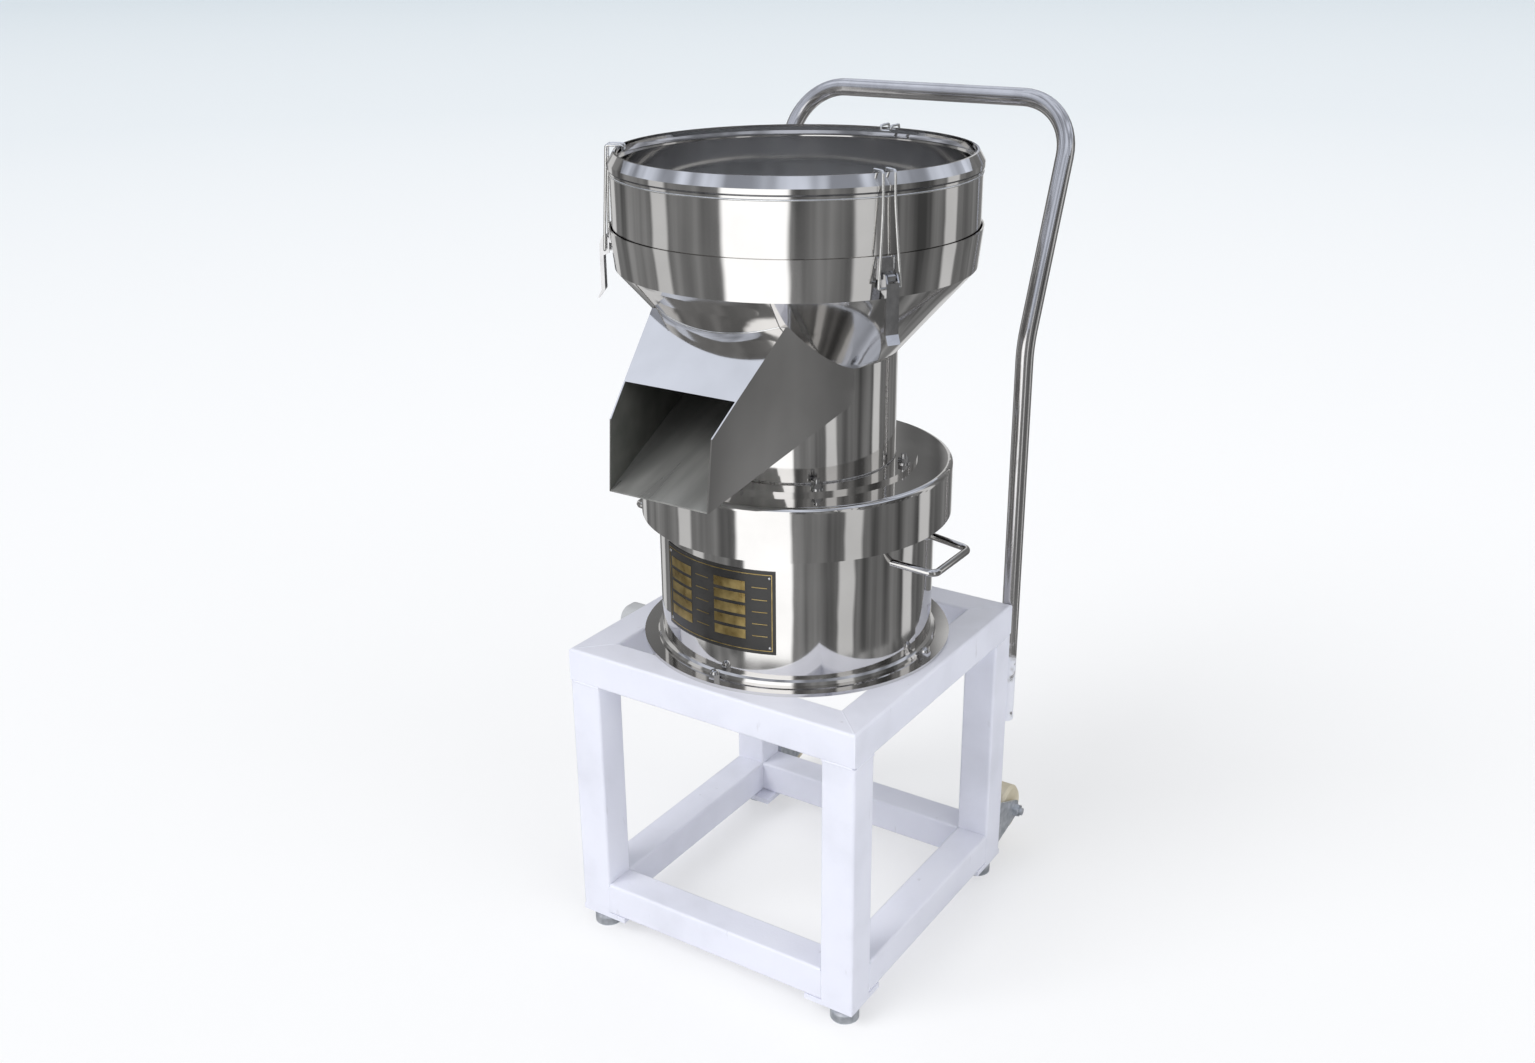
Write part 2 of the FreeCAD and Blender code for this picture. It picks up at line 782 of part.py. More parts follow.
def above_top_plate(name):
    """Room over the underside of the chute's top plate, up to the height where that plate ends."""
    sunk = f"chute_wall * sqrt(1 + {TOP_SLOPE} ^ 2)"
    return prism(name, "YZ_Plane", [
        (f"-({FRONT_OF_CHUTE})", top_height("chute_knee_reach", sunk)),
        ("-chute_knee_reach", top_height("chute_knee_reach", sunk)),
        (f"-chute_slope_reach + ({sunk}) / {TOP_SLOPE}", "chute_slope_height"),
        (f"-({FRONT_OF_CHUTE})", "chute_slope_height"),
    ], "chute_rear_half_width * 2")


def hood_solid(name, front, back):
    """Solid between two copies of the hood's face, moved along Y by front and by back.

    The face is ruled from the straight upper edge of the chute's top plate to an arc of the band's lower edge.
    """
    low = size("chute_slope_height")
    neck_top = size("neck_flange") + size("neck_height")
    high = neck_top + size("cone_height")
    flare = (size("cone_radius") - size("neck_radius")) / size("cone_height")
    low_radius = size("neck_radius") + flare * (low - neck_top)
    half = low_radius * math.sin(math.radians(size("hood_low_turn")))
    turn = math.radians(size("hood_high_turn"))
    radius = size("cone_radius")
    edge = [FreeCAD.Vector(x, -size("chute_slope_reach"), low) for x in (-half, half)]
    arc = [FreeCAD.Vector(radius * math.sin(a), -radius * math.cos(a), high) for a in (-turn, 0, turn)]
    ahead = FreeCAD.Vector(0, front, 0)
    behind = FreeCAD.Vector(0, back, 0)
    lower = [edge[0] + ahead, edge[1] + ahead, edge[1] + behind, edge[0] + behind, edge[0] + ahead]
    upper = Part.Wire([
        Part.Arc(*[point + ahead for point in arc]).toShape(),
        Part.makeLine(arc[2] + ahead, arc[2] + behind),
        Part.Arc(*[point + behind for point in reversed(arc)]).toShape(),
        Part.makeLine(arc[0] + behind, arc[0] + ahead),
    ])
    solid = doc.addObject("Part::Feature", name)
    solid.Shape = Part.makeLoft([Part.makePolygon(lower), upper], True, True)
    return solid


def make_bowl_and_chute():
    outer_side = prism("chute_outer_side", "YZ_Plane", [
        ("0", floor_height("0")),
        ("-chute_reach", "chute_lip_height"),
        ("-chute_shoulder_reach", "chute_shoulder_height"),
        ("-chute_knee_reach", "chute_knee_height"),
        ("-chute_slope_reach", "chute_slope_height"),
        ("0", "chute_slope_height"),
    ], "cone_radius * 2")
    front = FRONT_OF_CHUTE
    rear = "neck_radius / 4"
    sunk = f"chute_wall * sqrt(1 + {TOP_SLOPE} ^ 2)"
    inner_side = prism("chute_inner_side", "YZ_Plane", [
        (f"-({rear})", floor_height(rear)),
        (f"-({front})", floor_height(front)),
        (f"-({front})", top_height("chute_knee_reach", sunk)),
        ("-chute_knee_reach", top_height("chute_knee_reach", sunk)),
        ("-neck_radius", top_height("neck_radius", sunk)),
    ], "cone_radius * 2")
    outer = common("chute_outer", outer_side, chute_plan("chute_outer_plan", "0", "chute_reach", "0"))
    inner = common("chute_space", inner_side, chute_plan("chute_inner_plan", "chute_wall", front, rear))

    walls = cut("chute_walls", outer, inner)
    behind_plate = cut("behind_plate", bowl_outside("bowl_fill"), above_top_plate("plate_room"))
    chute = cut("chute", walls, behind_plate)
    place(chute, z=CAP_TOP)
    node("chute", chute)

    slab = prism("floor_slab", "YZ_Plane", [
        ("-chute_reach", "chute_lip_height"),
        ("cone_radius", floor_height("-cone_radius")),
        ("cone_radius", f"{floor_height('-cone_radius')} + chute_wall"),
        ("-chute_reach", "chute_lip_height + chute_wall"),
    ], "cone_radius * 2")
    room = fuse("floor_room", bowl_inside("bowl_room"), inner)
    floor = common("chute_floor", slab, room)
    place(floor, z=CAP_TOP)
    node("chute_floor", floor)

    wall = turned("bowl_wall_ring", [
        ("neck_radius - bowl_wall", "0"),
        ("neck_flange_radius", "0"),
        ("neck_flange_radius", "neck_flange"),
        ("neck_radius", "neck_flange"),
        ("neck_radius", NECK_TOP),
        ("cone_radius", CONE_TOP),
        ("bowl_rim_radius", BOWL_RIM),
        ("bowl_rim_radius - bowl_wall", BOWL_RIM),
        (LEDGE_RADIUS, LEDGE_TOP),
        ("ledge_inner_radius", LEDGE_TOP),
        ("ledge_inner_radius", f"{LEDGE_TOP} - ledge_plate"),
        (band_inner("band_height - ledge_drop - ledge_plate"), f"{LEDGE_TOP} - ledge_plate"),
        ("cone_radius - bowl_wall", CONE_TOP),
        ("neck_radius - bowl_wall", NECK_TOP),
    ])
    hole = new_sketch(wall, "BoltHole", "XY_Plane")
    ring(hole, "neck_bolt_ring * sin(neck_bolt_turn)", "-neck_bolt_ring * cos(neck_bolt_turn)",
         "neck_bolt_radius + hole_clearance")
    around(wall, pocket(wall, hole, "neck_flange * 3", midplane=True), "neck_bolt_count")
    opened = cut("bowl_opened", wall, inner)
    flattened = cut("bowl_flattened", opened, above_top_plate("plate_front"))
    bowl = cut("bowl", flattened, hood_solid("hood_room", -size("tube_size"), size("bowl_wall")))
    place(bowl, z=CAP_TOP)
    node("bowl", bowl)
    hood = hood_solid("hood_panel", 0, size("bowl_wall"))
    place(hood, z=CAP_TOP)
    node("hood_panel", hood)


def make_neck_bolts():
    """Bolts from under the cap, with washer and nut on the neck flange."""
    bolts = []
    count = int(size("neck_bolt_count"))
    top = "neck_flange"
    for index in range(count):
        x = "0"
        y = "-neck_bolt_ring"
        head = hexagon(f"neck_head_{index}", "neck_bolt_flats", "neck_bolt_nut", x, y, "-cap_plate - neck_bolt_nut")
        shank = cylinder(f"neck_shank_{index}", "neck_bolt_radius",
                         "cap_plate + neck_flange + washer + neck_bolt_nut + neck_bolt_stub", x, y, "-cap_plate")
        disc = cylinder(f"neck_washer_{index}", "washer_radius", "washer", x, y, top)
        nut = hexagon(f"neck_nut_{index}", "neck_bolt_flats", "neck_bolt_nut", x, y, f"{top} + washer")
        bolt = fuse(f"neck_bolt_{index}", head, shank, disc, nut)
        place(bolt, z=CAP_TOP, turn=size("neck_bolt_turn") + 360 / count * index)
        bolts.append(bolt)
    group("neck_bolts", bolts)


def make_screen():
    gasket_outer = f"{LEDGE_RADIUS} - hole_clearance"
    slot_outer = f"{gasket_outer} - gasket_lip"
    node("screen_gasket", turned("screen_gasket", [
        ("gasket_inner_radius", "0"),
        (gasket_outer, "0"),
        ("frame_radius", "gasket_height"),
        ("gasket_inner_radius", "gasket_height"),
        ("gasket_inner_radius", "gasket_height - gasket_lip"),
        (slot_outer, "gasket_height - gasket_lip"),
        (slot_outer, "gasket_lip"),
        ("gasket_inner_radius", "gasket_lip"),
    ], f"{CAP_TOP} + {LEDGE_TOP}"))
    node("screen_ring", turned("screen_ring", [
        ("screen_inner_radius", "gasket_lip"),
        (slot_outer, "gasket_lip"),
        (slot_outer, "gasket_height - gasket_lip"),
        ("screen_inner_radius", "gasket_height - gasket_lip"),
    ], f"{CAP_TOP} + {LEDGE_TOP}"))
    mesh = cylinder("screen_mesh", "screen_inner_radius", "mesh_sheet",
                    z=f"{CAP_TOP} + {LEDGE_TOP} + (gasket_height - mesh_sheet) / 2")
    node("screen_mesh", mesh)


def make_upper_frame():
    inner = "frame_radius - frame_wall"
    bead_bottom = "frame_height - frame_bead_drop"
    groove_bottom = f"{bead_bottom} - frame_groove * 2"
    shoulder = "frame_height - frame_shoulder_drop"
    ring_top = f"{bead_bottom} + frame_ring"
    node("upper_frame", turned("upper_frame", [
        (inner, "0"),
        ("frame_radius", "0"),
        ("frame_radius", groove_bottom),
        ("frame_radius - frame_groove", groove_bottom),
        ("frame_radius - frame_groove", bead_bottom),
        ("frame_bead_radius", bead_bottom),
        ("frame_bead_radius", shoulder),
        ("frame_mouth_radius + frame_lip", "frame_height"),
        ("frame_mouth_radius", "frame_height"),
        ("frame_mouth_radius", "frame_height - frame_lip"),
        (inner, shoulder),
        (inner, ring_top),
        ("frame_ring_inner_radius", ring_top),
        ("frame_ring_inner_radius", bead_bottom),
        (inner, bead_bottom),
    ], f"{CAP_TOP} + {FRAME_BOTTOM}"))


# Toggle latches, drawn at the front and turned about the machine axis

PIVOT_HEIGHT = f"{BOWL_RIM} - latch_pivot_drop"


def make_latches():
    brackets = []
    count = int(size("latch_count"))
    step = 360 / count
    for index in range(count):
        turn = size("latch_turn") + step * index
        brackets += make_latch_bracket(index, turn)
        make_latch_lever(index + 1, turn)
        make_latch_bail(index + 1, turn)
    group("latch_brackets", brackets)


def make_latch_bracket(index, turn):
    """Plate on the band with a central knuckle, and the lever's pin through the knuckle."""
    plate_front = "(bowl_rim_radius + bracket_plate)"
    plate = prism(f"bracket_plate_{index}", "YZ_Plane", [
        ("-cone_radius", f"{BOWL_RIM} - bracket_height - bowl_wall"),
        (f"-{plate_front}", f"{BOWL_RIM} - bracket_height - bowl_wall"),
        (f"-{plate_front}", f"{BOWL_RIM} - bowl_wall"),
        ("-cone_radius", f"{BOWL_RIM} - bowl_wall"),
    ], "bracket_width")
    knuckle_end = "latch_pin_radius + lever_sheet"
    knuckle = prism(f"bracket_knuckle_{index}", "YZ_Plane", [
        ("-cone_radius", f"{PIVOT_HEIGHT} - ({knuckle_end})"),
        (f"-latch_pivot_radius - ({knuckle_end})", f"{PIVOT_HEIGHT} - ({knuckle_end})", "latch_pin_radius"),
        (f"-latch_pivot_radius - ({knuckle_end})", f"{PIVOT_HEIGHT} + {knuckle_end}", "latch_pin_radius"),
        ("-cone_radius", f"{PIVOT_HEIGHT} + {knuckle_end}"),
    ], "knuckle_width")
    pin = pivot_rod(f"bracket_pin_{index}", "latch_pin_radius")
    bore = pivot_rod(f"bracket_bore_{index}", "latch_pin_radius + pin_clearance")
    solid = cut(f"bracket_solid_{index}", fuse(f"bracket_plates_{index}", plate, knuckle), bore)
    bracket = cut(f"latch_bracket_{index}", solid, bowl_outside(f"bracket_fill_{index}"))
    place(bracket, z=CAP_TOP, turn=turn)
    place(pin, z=CAP_TOP, turn=turn)
    return [bracket, pin]


def pivot_rod(name, radius):
    """Round rod across the latch, where the lever turns."""
    rod = new_body(name)
    section = ring(new_sketch(rod, "Section", "YZ_Plane"), "-latch_pivot_radius", PIVOT_HEIGHT, radius)
    pad(rod, section, "lever_width", True)
    return rod


def make_latch_lever(number, turn):
    """Folded channel that turns on the bracket's pin and carries the bail below it."""
    def out(distance):
        return f"-latch_pivot_radius - ({distance})"

    def up(distance):
        return f"{PIVOT_HEIGHT} + ({distance})"

    lever = new_body(f"latch_lever_{number}")
    side = trace(new_sketch(lever, "Side", "YZ_Plane"), [
        (out("-lever_ear"), up("lever_ear"), "lever_ear_round"),
        (out("lever_ear - lever_sheet / 2"), up("lever_ear"), "lever_ear_round"),
        (out("lever_depth"), up("-lever_ear")),
        (out("lever_depth"), up("-lever_length")),
        (out("lever_depth + lever_tip / 2"), up("-lever_length - lever_tip")),
        (out("lever_depth + lever_tip / 2 - lever_sheet"), up("-lever_length - lever_tip")),
        (out("lever_depth - lever_ear"), up("-lever_length")),
        (out("lever_depth - lever_ear"), up("-latch_throw - lever_depth")),
        (out("-lever_ear"), up("-latch_throw - lever_ear")),
    ])
    pad(lever, side, "lever_width", True)
    channel = trace(new_sketch(lever, "Channel", "YZ_Plane"), [
        (out("-lever_ear * 2"), up("lever_ear * 2")),
        (out("lever_depth * 2"), up("lever_ear * 2")),
        (out("lever_depth * 2"), up("-lever_ear")),
        (out("lever_depth - lever_sheet"), up("-lever_ear")),
        (out("lever_depth - lever_sheet"), up("-lever_length + lever_sheet")),
        (out("-lever_ear * 2"), up("-lever_length + lever_sheet")),
    ])
    pocket(lever, channel, "lever_width - lever_sheet * 2", midplane=True)
    holes = new_sketch(lever, "Holes", "YZ_Plane")
    ring(holes, out("0"), PIVOT_HEIGHT, "latch_pin_radius + pin_clearance")
    ring(holes, out("0"), up("-latch_throw"), "bail_wire + pin_clearance")
    pocket(lever, holes, "lever_width * 2", midplane=True)
    place(lever, z=CAP_TOP, turn=turn)
    node(f"latch_lever_{number}", lever)


def make_latch_bail(number, turn):
    """One bent wire: from an ear of the lever up over the frame's mouth, across, and back to the other ear."""
    wire = size("bail_wire")
    wire_x = size("lever_width") / 2 + size("hole_clearance") + wire
    mouth = size("frame_mouth_radius")
    bowl_rim = sum(size(part) for part in ("neck_flange", "neck_height", "cone_height", "band_height"))
    rim = bowl_rim - size("ledge_drop") + size("gasket_height") + size("frame_height")
    foot = bowl_rim - size("latch_pivot_drop") - size("latch_throw")
    over_rim = rim + size("bail_gap") + wire
    outside = -size("frame_bead_radius") - wire * 2
    inside = size("bail_hook_inset") - mouth
    tip = rim - size("bail_hook_depth")
    left = [
        FreeCAD.Vector(-size("lever_width") / 2 + size("lever_sheet"), -size("latch_pivot_radius"), foot),
        FreeCAD.Vector(-wire_x, -size("latch_pivot_radius"), foot),
        FreeCAD.Vector(-wire_x, outside, over_rim),
        FreeCAD.Vector(-wire_x, inside, over_rim),
        FreeCAD.Vector(-wire_x, inside, tip),
    ]
    right = [FreeCAD.Vector(-point.x, point.y, point.z) for point in reversed(left)]
    hook = size("bail_hook_bend")
    bends = [wire * 1.1, size("bail_bend"), hook, hook]
    bail = doc.addObject("Part::Feature", f"latch_bail_{number}")
    bail.Shape = rod_along(bent_wire(left + right, bends + bends[::-1]), X_AXIS, wire)
    place(bail, z=CAP_TOP, turn=turn)
    node(f"latch_bail_{number}", bail)


# Motor, shaft and eccentric weights

MOTOR_TOP = "motor_boss - cap_plate"
MOTOR_BOTTOM = "(cap_plate + motor_flange + motor_length)"


def make_motor():
    bore = "shaft_radius + pin_clearance"
    motor = turned("motor_body", [
        (bore, f"-{MOTOR_BOTTOM}"),
        ("motor_radius", f"-{MOTOR_BOTTOM}", "motor_edge"),
        ("motor_radius", "-cap_plate - motor_flange"),
        ("motor_flange_radius", "-cap_plate - motor_flange"),
        ("motor_flange_radius", "-cap_plate"),
        ("motor_boss_radius", "-cap_plate"),
        ("motor_boss_radius", MOTOR_TOP),
        (bore, MOTOR_TOP),
    ], CAP_TOP)
    hole = ring(new_sketch(motor, "BoltHole", "XY_Plane", "-cap_plate"), "0", "-motor_bolt_ring",
                "motor_bolt_radius + hole_clearance")
    around(motor, pocket(motor, hole, "motor_flange * 3"), "motor_bolt_count")
    node("motor_body", motor)

    bolts = []
    count = int(size("motor_bolt_count"))
    below = "-cap_plate - motor_flange"
    for index in range(count):
        head = hexagon(f"motor_head_{index}", "neck_bolt_flats", "neck_bolt_nut", "0", "-motor_bolt_ring", "0")
        shank = cylinder(f"motor_shank_{index}", "motor_bolt_radius",
                         "cap_plate + motor_flange + neck_bolt_nut + neck_bolt_stub", "0", "-motor_bolt_ring",
                         f"{below} - neck_bolt_nut - neck_bolt_stub")
        nut = hexagon(f"motor_nut_{index}", "neck_bolt_flats", "neck_bolt_nut", "0", "-motor_bolt_ring",
                      f"{below} - neck_bolt_nut")
        bolt = fuse(f"motor_bolt_{index}", head, shank, nut)
        place(bolt, z=CAP_TOP, turn=360 / count * index)
        bolts.append(bolt)
    group("motor_bolts", bolts)

    shaft = cylinder("motor_shaft", "shaft_radius", "shaft_above + shaft_below", z=f"{CAP_TOP} - shaft_below")
    node("motor_shaft", shaft)
    make_weight("eccentric_weight_upper", f"{MOTOR_TOP} + weight_gap")
    make_weight("eccentric_weight_lower", f"-{MOTOR_BOTTOM} - weight_gap - weight_thickness")


def make_weight(name, bottom):
    """Half disc with a hub, clamped on the shaft."""
    weight = new_body(name)
    pad(weight, ring(new_sketch(weight, "Disc", "XY_Plane"), "0", "0", "weight_radius"), "weight_thickness")
    away = trace(new_sketch(weight, "Away", "XY_Plane"), [
        ("-weight_radius * 2", "0"),
        ("weight_radius * 2", "0"),
        ("weight_radius * 2", "weight_radius * 2"),
        ("-weight_radius * 2", "weight_radius * 2"),
    ])
    pocket(weight, away, "weight_thickness", along_normal=True)
    pad(weight, ring(new_sketch(weight, "Hub", "XY_Plane"), "0", "0", "weight_hub_radius"), "weight_thickness")
    bore = ring(new_sketch(weight, "Bore", "XY_Plane"), "0", "0", "shaft_radius + pin_clearance")
    pocket(weight, bore, "weight_thickness", along_normal=True)
    place(weight, z=f"{CAP_TOP} + {bottom}")
    node(name, weight)


# Push handle

def make_push_handle():
    """One bent tube: two uprights on the rear legs, leaning back to a cross bar."""
    side = size("stand_width") / 2 - size("handle_inset")
    back = size("stand_width") / 2 + size("handle_radius")
    top_back = back + size("handle_lean")
    left = [
        FreeCAD.Vector(-side, back, size("handle_foot_height")),
        FreeCAD.Vector(-side, back, size("handle_kink_height")),
        FreeCAD.Vector(-side, top_back, size("handle_top_height")),
    ]
    right = [FreeCAD.Vector(side, point.y, point.z) for point in reversed(left)]
    kink = size("handle_kink_bend")
    corner = size("handle_corner_bend")
    path = bent_wire(left + right, [kink, corner, corner, kink])
    outer = rod_along(path, Z_AXIS, size("handle_radius"))
    bore = rod_along(path, Z_AXIS, size("handle_radius") - size("handle_wall"))
    handle = doc.addObject("Part::Feature", "push_handle")
    handle.Shape = outer.cut(bore)
    handle.Placement = FreeCAD.Placement()
    node("push_handle", handle)


# Casters behind the rear legs

def make_casters():
    axles = []
    hub_half = "(wheel_hub_width / 2 + running_clearance)"
    fork_half = f"({hub_half} + fork_sheet)"
    for side, sign in (("left", "-"), ("right", "")):
        wheel = new_body(f"caster_wheel_{side}")
        bore = "axle_radius + pin_clearance"
        outline = trace(new_sketch(wheel, "Outline", "XZ_Plane"), [
            ("-wheel_hub_width / 2", bore),
            ("-wheel_hub_width / 2", "wheel_hub_radius"),
            ("-wheel_width / 2", "wheel_hub_radius"),
            ("-wheel_width / 2", "wheel_radius - wheel_edge"),
            ("-wheel_width / 2 + wheel_edge", "wheel_radius"),
            ("wheel_width / 2 - wheel_edge", "wheel_radius"),
            ("wheel_width / 2", "wheel_radius - wheel_edge"),
            ("wheel_width / 2", "wheel_hub_radius"),
            ("wheel_hub_width / 2", "wheel_hub_radius"),
            ("wheel_hub_width / 2", bore),
        ])
        revolve(wheel, outline, axis="H_Axis")
        place(wheel, f"{sign}{CASTER_OFFSET}", "stand_width / 2 + caster_reach", "caster_height")
        node(f"caster_wheel_{side}", wheel)

        fork = new_body(f"caster_bracket_{side}")
        profile = trace(new_sketch(fork, "Side", "YZ_Plane"), [
            ("-caster_reach", "-fork_bottom"),
            ("-caster_reach + fork_plate", "-fork_bottom"),
            ("fork_eye", "-fork_eye", "fork_eye_round"),
            ("fork_eye", "fork_eye", "fork_eye_round"),
            ("-caster_reach + fork_plate", "fork_top"),
            ("-caster_reach", "fork_top"),
        ])
        pad(fork, profile, f"{fork_half} * 2", True)
        slot = trace(new_sketch(fork, "Slot", "YZ_Plane"), [
            ("-caster_reach + fork_plate", "-fork_top * 2"),
            ("fork_eye * 2", "-fork_top * 2"),
            ("fork_eye * 2", "fork_top * 2"),
            ("-caster_reach + fork_plate", "fork_top * 2"),
        ])
        pocket(fork, slot, f"{hub_half} * 2", midplane=True)
        eye = ring(new_sketch(fork, "Eye", "YZ_Plane"), "0", "0", "axle_radius + pin_clearance")
        pocket(fork, eye, f"{fork_half} * 3", midplane=True)
        place(fork, f"{sign}{CASTER_OFFSET}", "stand_width / 2 + caster_reach", "caster_height")
        node(f"caster_bracket_{side}", fork)

        shank_half = f"({fork_half} + axle_nut + axle_stub)"
        shank = cylinder(f"axle_shank_{side}", "axle_radius", f"{shank_half} * 2")
        place(shank, f"-{shank_half}", turn=90, axis=Y_AXIS)
        ends = []
        for end, start in (("head", f"-{fork_half} - axle_nut"), ("nut", fork_half)):
            hex_end = hexagon(f"axle_{end}_{side}", "axle_flats", "axle_nut")
            place(hex_end, start, turn=90, axis=Y_AXIS)
            ends.append(hex_end)
        axle = fuse(f"caster_axle_{side}", shank, *ends)
        place(axle, f"{sign}{CASTER_OFFSET}", "stand_width / 2 + caster_reach", "caster_height")
        axles.append(axle)
    group("caster_axles", axles)


# Switch box on the outer face of the left rail

BOX_PLACE = {
    "x": "-stand_width / 2",
    "y": "box_shift",
    "z": f"{STAND_TOP} + box_rise - box_height / 2",
    "turn": 180,
}


def box_outline(sketch, inset="0", corner="box_corner"):
    y = f"(box_length / 2 - {inset})"
    z = f"(box_height / 2 - {inset})"
    return trace(sketch, [
        (f"-{y}", f"-{z}", corner),
        (y, f"-{z}", corner),
        (y, z, corner),
        (f"-{y}", z, corner),
    ])


def make_switch_box():
    box = new_body("switch_box")
    pad(box, box_outline(new_sketch(box, "Outline", "YZ_Plane")), "box_depth")
    cavity = box_outline(new_sketch(box, "Cavity", "YZ_Plane", "box_depth"), "box_wall", "box_inner_corner")
    pocket(box, cavity, "box_depth - box_wall")
    cable_hole = ring(new_sketch(box, "CableHole", "XY_Plane"), "box_depth / 2", "0",
                      "gland_thread_radius + pin_clearance")
    pocket(box, cable_hole, "box_height")
    place(box, **BOX_PLACE)
    node("switch_box", box)

    lid = new_body("switch_box_lid")
    pad(lid, box_outline(new_sketch(lid, "Outline", "YZ_Plane", "box_depth")), "lid_thickness")
    half_width = "(rocker_width / 2 + running_clearance)"
    half_height = "(rocker_height / 2 + rocker_gap)"
    window = trace(new_sketch(lid, "Window", "YZ_Plane", "box_depth + lid_thickness"), [
        (f"-{half_width}", f"-{half_height}"),
        (half_width, f"-{half_height}"),
        (half_width, half_height),
        (f"-{half_width}", half_height),
    ])
    pocket(lid, window, "lid_thickness")
    axis_x = "box_depth + lid_thickness - rocker_sunk"
    pin_hole = ring(new_sketch(lid, "PinHole", "XZ_Plane"), axis_x, "0", "rocker_pin + pin_clearance")
    pocket(lid, pin_hole, f"({half_width} + rocker_pin_reach) * 2", midplane=True)
    place(lid, **BOX_PLACE)
    node("switch_box_lid", lid)

    rocker = new_body("switch_rocker")
    button = trace(new_sketch(rocker, "Side", "XZ_Plane"), [
        (f"{axis_x} - rocker_back", "-rocker_height / 3"),
        (f"{axis_x} + rocker_sunk + rocker_proud", "-rocker_height / 2"),
        (f"{axis_x} + rocker_sunk + rocker_proud - rocker_dip", "0"),
        (f"{axis_x} + rocker_sunk + rocker_proud", "rocker_height / 2"),
        (f"{axis_x} - rocker_back", "rocker_height / 3"),
    ])
    pad(rocker, button, "rocker_width", True)
    pin = ring(new_sketch(rocker, "Pin", "XZ_Plane"), axis_x, "0", "rocker_pin")
    pad(rocker, pin, f"({half_width} + rocker_pin_reach - hole_clearance) * 2", True)
    place(rocker, **BOX_PLACE)
    node("switch_rocker", rocker)


def make_cable_gland():
    """Hollow gland under the box: the cable's way in."""
    nose = turned("gland_nose_ring", [
        ("0", "-gland_hex - gland_nose"),
        ("gland_nose_radius * 0.8", "-gland_hex - gland_nose"),
        ("gland_nose_radius", "-gland_hex - gland_nose * 0.6"),
        ("gland_nose_radius", "-gland_hex"),
        ("gland_thread_radius", "0"),
        ("gland_thread_radius", "gland_thread"),
        ("0", "gland_thread"),
    ])
    hex_part = hexagon("gland_hexagon", "gland_flats", "gland_hex", z="-gland_hex")
    bore = cylinder("gland_bore_space", "gland_bore", "gland_hex + gland_nose + gland_thread",
                    z="-gland_hex - gland_nose")
    gland = cut("cable_gland", fuse("gland_solid", nose, hex_part), bore)
    place(gland, "-stand_width / 2 - box_depth / 2", "box_shift", f"{STAND_TOP} + box_rise - box_height")
    node("cable_gland", gland)


make_stand()
make_feet()
make_base_shell()
make_hold_down_bolts()
make_base_handles()
make_nameplate()
make_springs()
make_cap()
make_bowl_and_chute()
make_neck_bolts()
make_screen()
make_upper_frame()
make_latches()
make_motor()
make_push_handle()
make_casters()
make_switch_box()
make_cable_gland()
doc.recompute()

for thing in doc.Objects:
    if "Invalid" in thing.State or "Error" in thing.State:
        owners = [owner.Name for owner in thing.InList]
        raise RuntimeError(f"{thing.Name} in {owners} is in state {thing.State}")
for piece in nodes:
    if piece.Shape.isNull() or not piece.Shape.isValid():
        raise RuntimeError(f"{piece.Label} has no valid shape")

os.makedirs("parts", exist_ok=True)
for piece in nodes:
    piece.Shape.exportStep(f"parts/{piece.Label}.step")
print(len(nodes), "nodes")
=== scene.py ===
"""Looks of the filtration sieve: materials, small fittings, floor, light and camera.

Metres and degrees. Azimuths run from the front, -Y, towards the right, +X.
"""

import json
import math

import bmesh
import bpy
from mathutils import Matrix, Vector


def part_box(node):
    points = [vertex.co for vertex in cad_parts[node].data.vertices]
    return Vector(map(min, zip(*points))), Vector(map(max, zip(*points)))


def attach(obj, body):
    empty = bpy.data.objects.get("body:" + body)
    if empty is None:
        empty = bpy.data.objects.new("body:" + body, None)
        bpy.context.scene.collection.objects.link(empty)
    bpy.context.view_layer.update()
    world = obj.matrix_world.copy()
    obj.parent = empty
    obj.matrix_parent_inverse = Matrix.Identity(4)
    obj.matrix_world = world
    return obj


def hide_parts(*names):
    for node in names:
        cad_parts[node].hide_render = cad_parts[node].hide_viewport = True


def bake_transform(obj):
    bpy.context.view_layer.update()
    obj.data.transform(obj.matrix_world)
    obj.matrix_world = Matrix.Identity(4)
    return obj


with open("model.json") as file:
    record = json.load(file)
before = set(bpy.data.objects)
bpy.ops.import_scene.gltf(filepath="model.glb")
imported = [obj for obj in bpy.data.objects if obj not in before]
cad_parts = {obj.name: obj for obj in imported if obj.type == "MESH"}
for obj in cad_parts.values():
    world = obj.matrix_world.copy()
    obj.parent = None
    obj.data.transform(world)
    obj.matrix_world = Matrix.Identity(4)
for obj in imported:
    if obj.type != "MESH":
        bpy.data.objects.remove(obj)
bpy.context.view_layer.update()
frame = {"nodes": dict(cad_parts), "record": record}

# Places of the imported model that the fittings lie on

PLATE_RADIUS = 0.19102
PLATE_BOTTOM = 0.5014
PLATE_TOP = 0.6194
PLATE_TURN = -4.0
PLATE_SWEEP = 56.0
CAP_TOP = 0.7143
NECK_RADIUS = 0.135
NECK_TOP = 0.866
CONE_TOP = 0.9785
CONE_RADIUS = 0.235
STAND_TOP = 0.454
HALF_STAND = 0.230
TUBE = 0.050
HOOD_HALF = 0.0906
HOOD_TURN = 24.7
PLATE_HIGH = (-0.1817, 0.9425)
PLATE_KNEE = (-0.2608, 0.8728)
HOOD_DIP = 0.2
LATCHES = {"1": 58, "2": 178, "3": 298}
LATCH_RADIUS = 0.249
BAIL_FOOT = 0.994
FRAME_TOP = 1.124

# Finish of the polished sheets: tones, roughness and the slow wave that bends the reflections

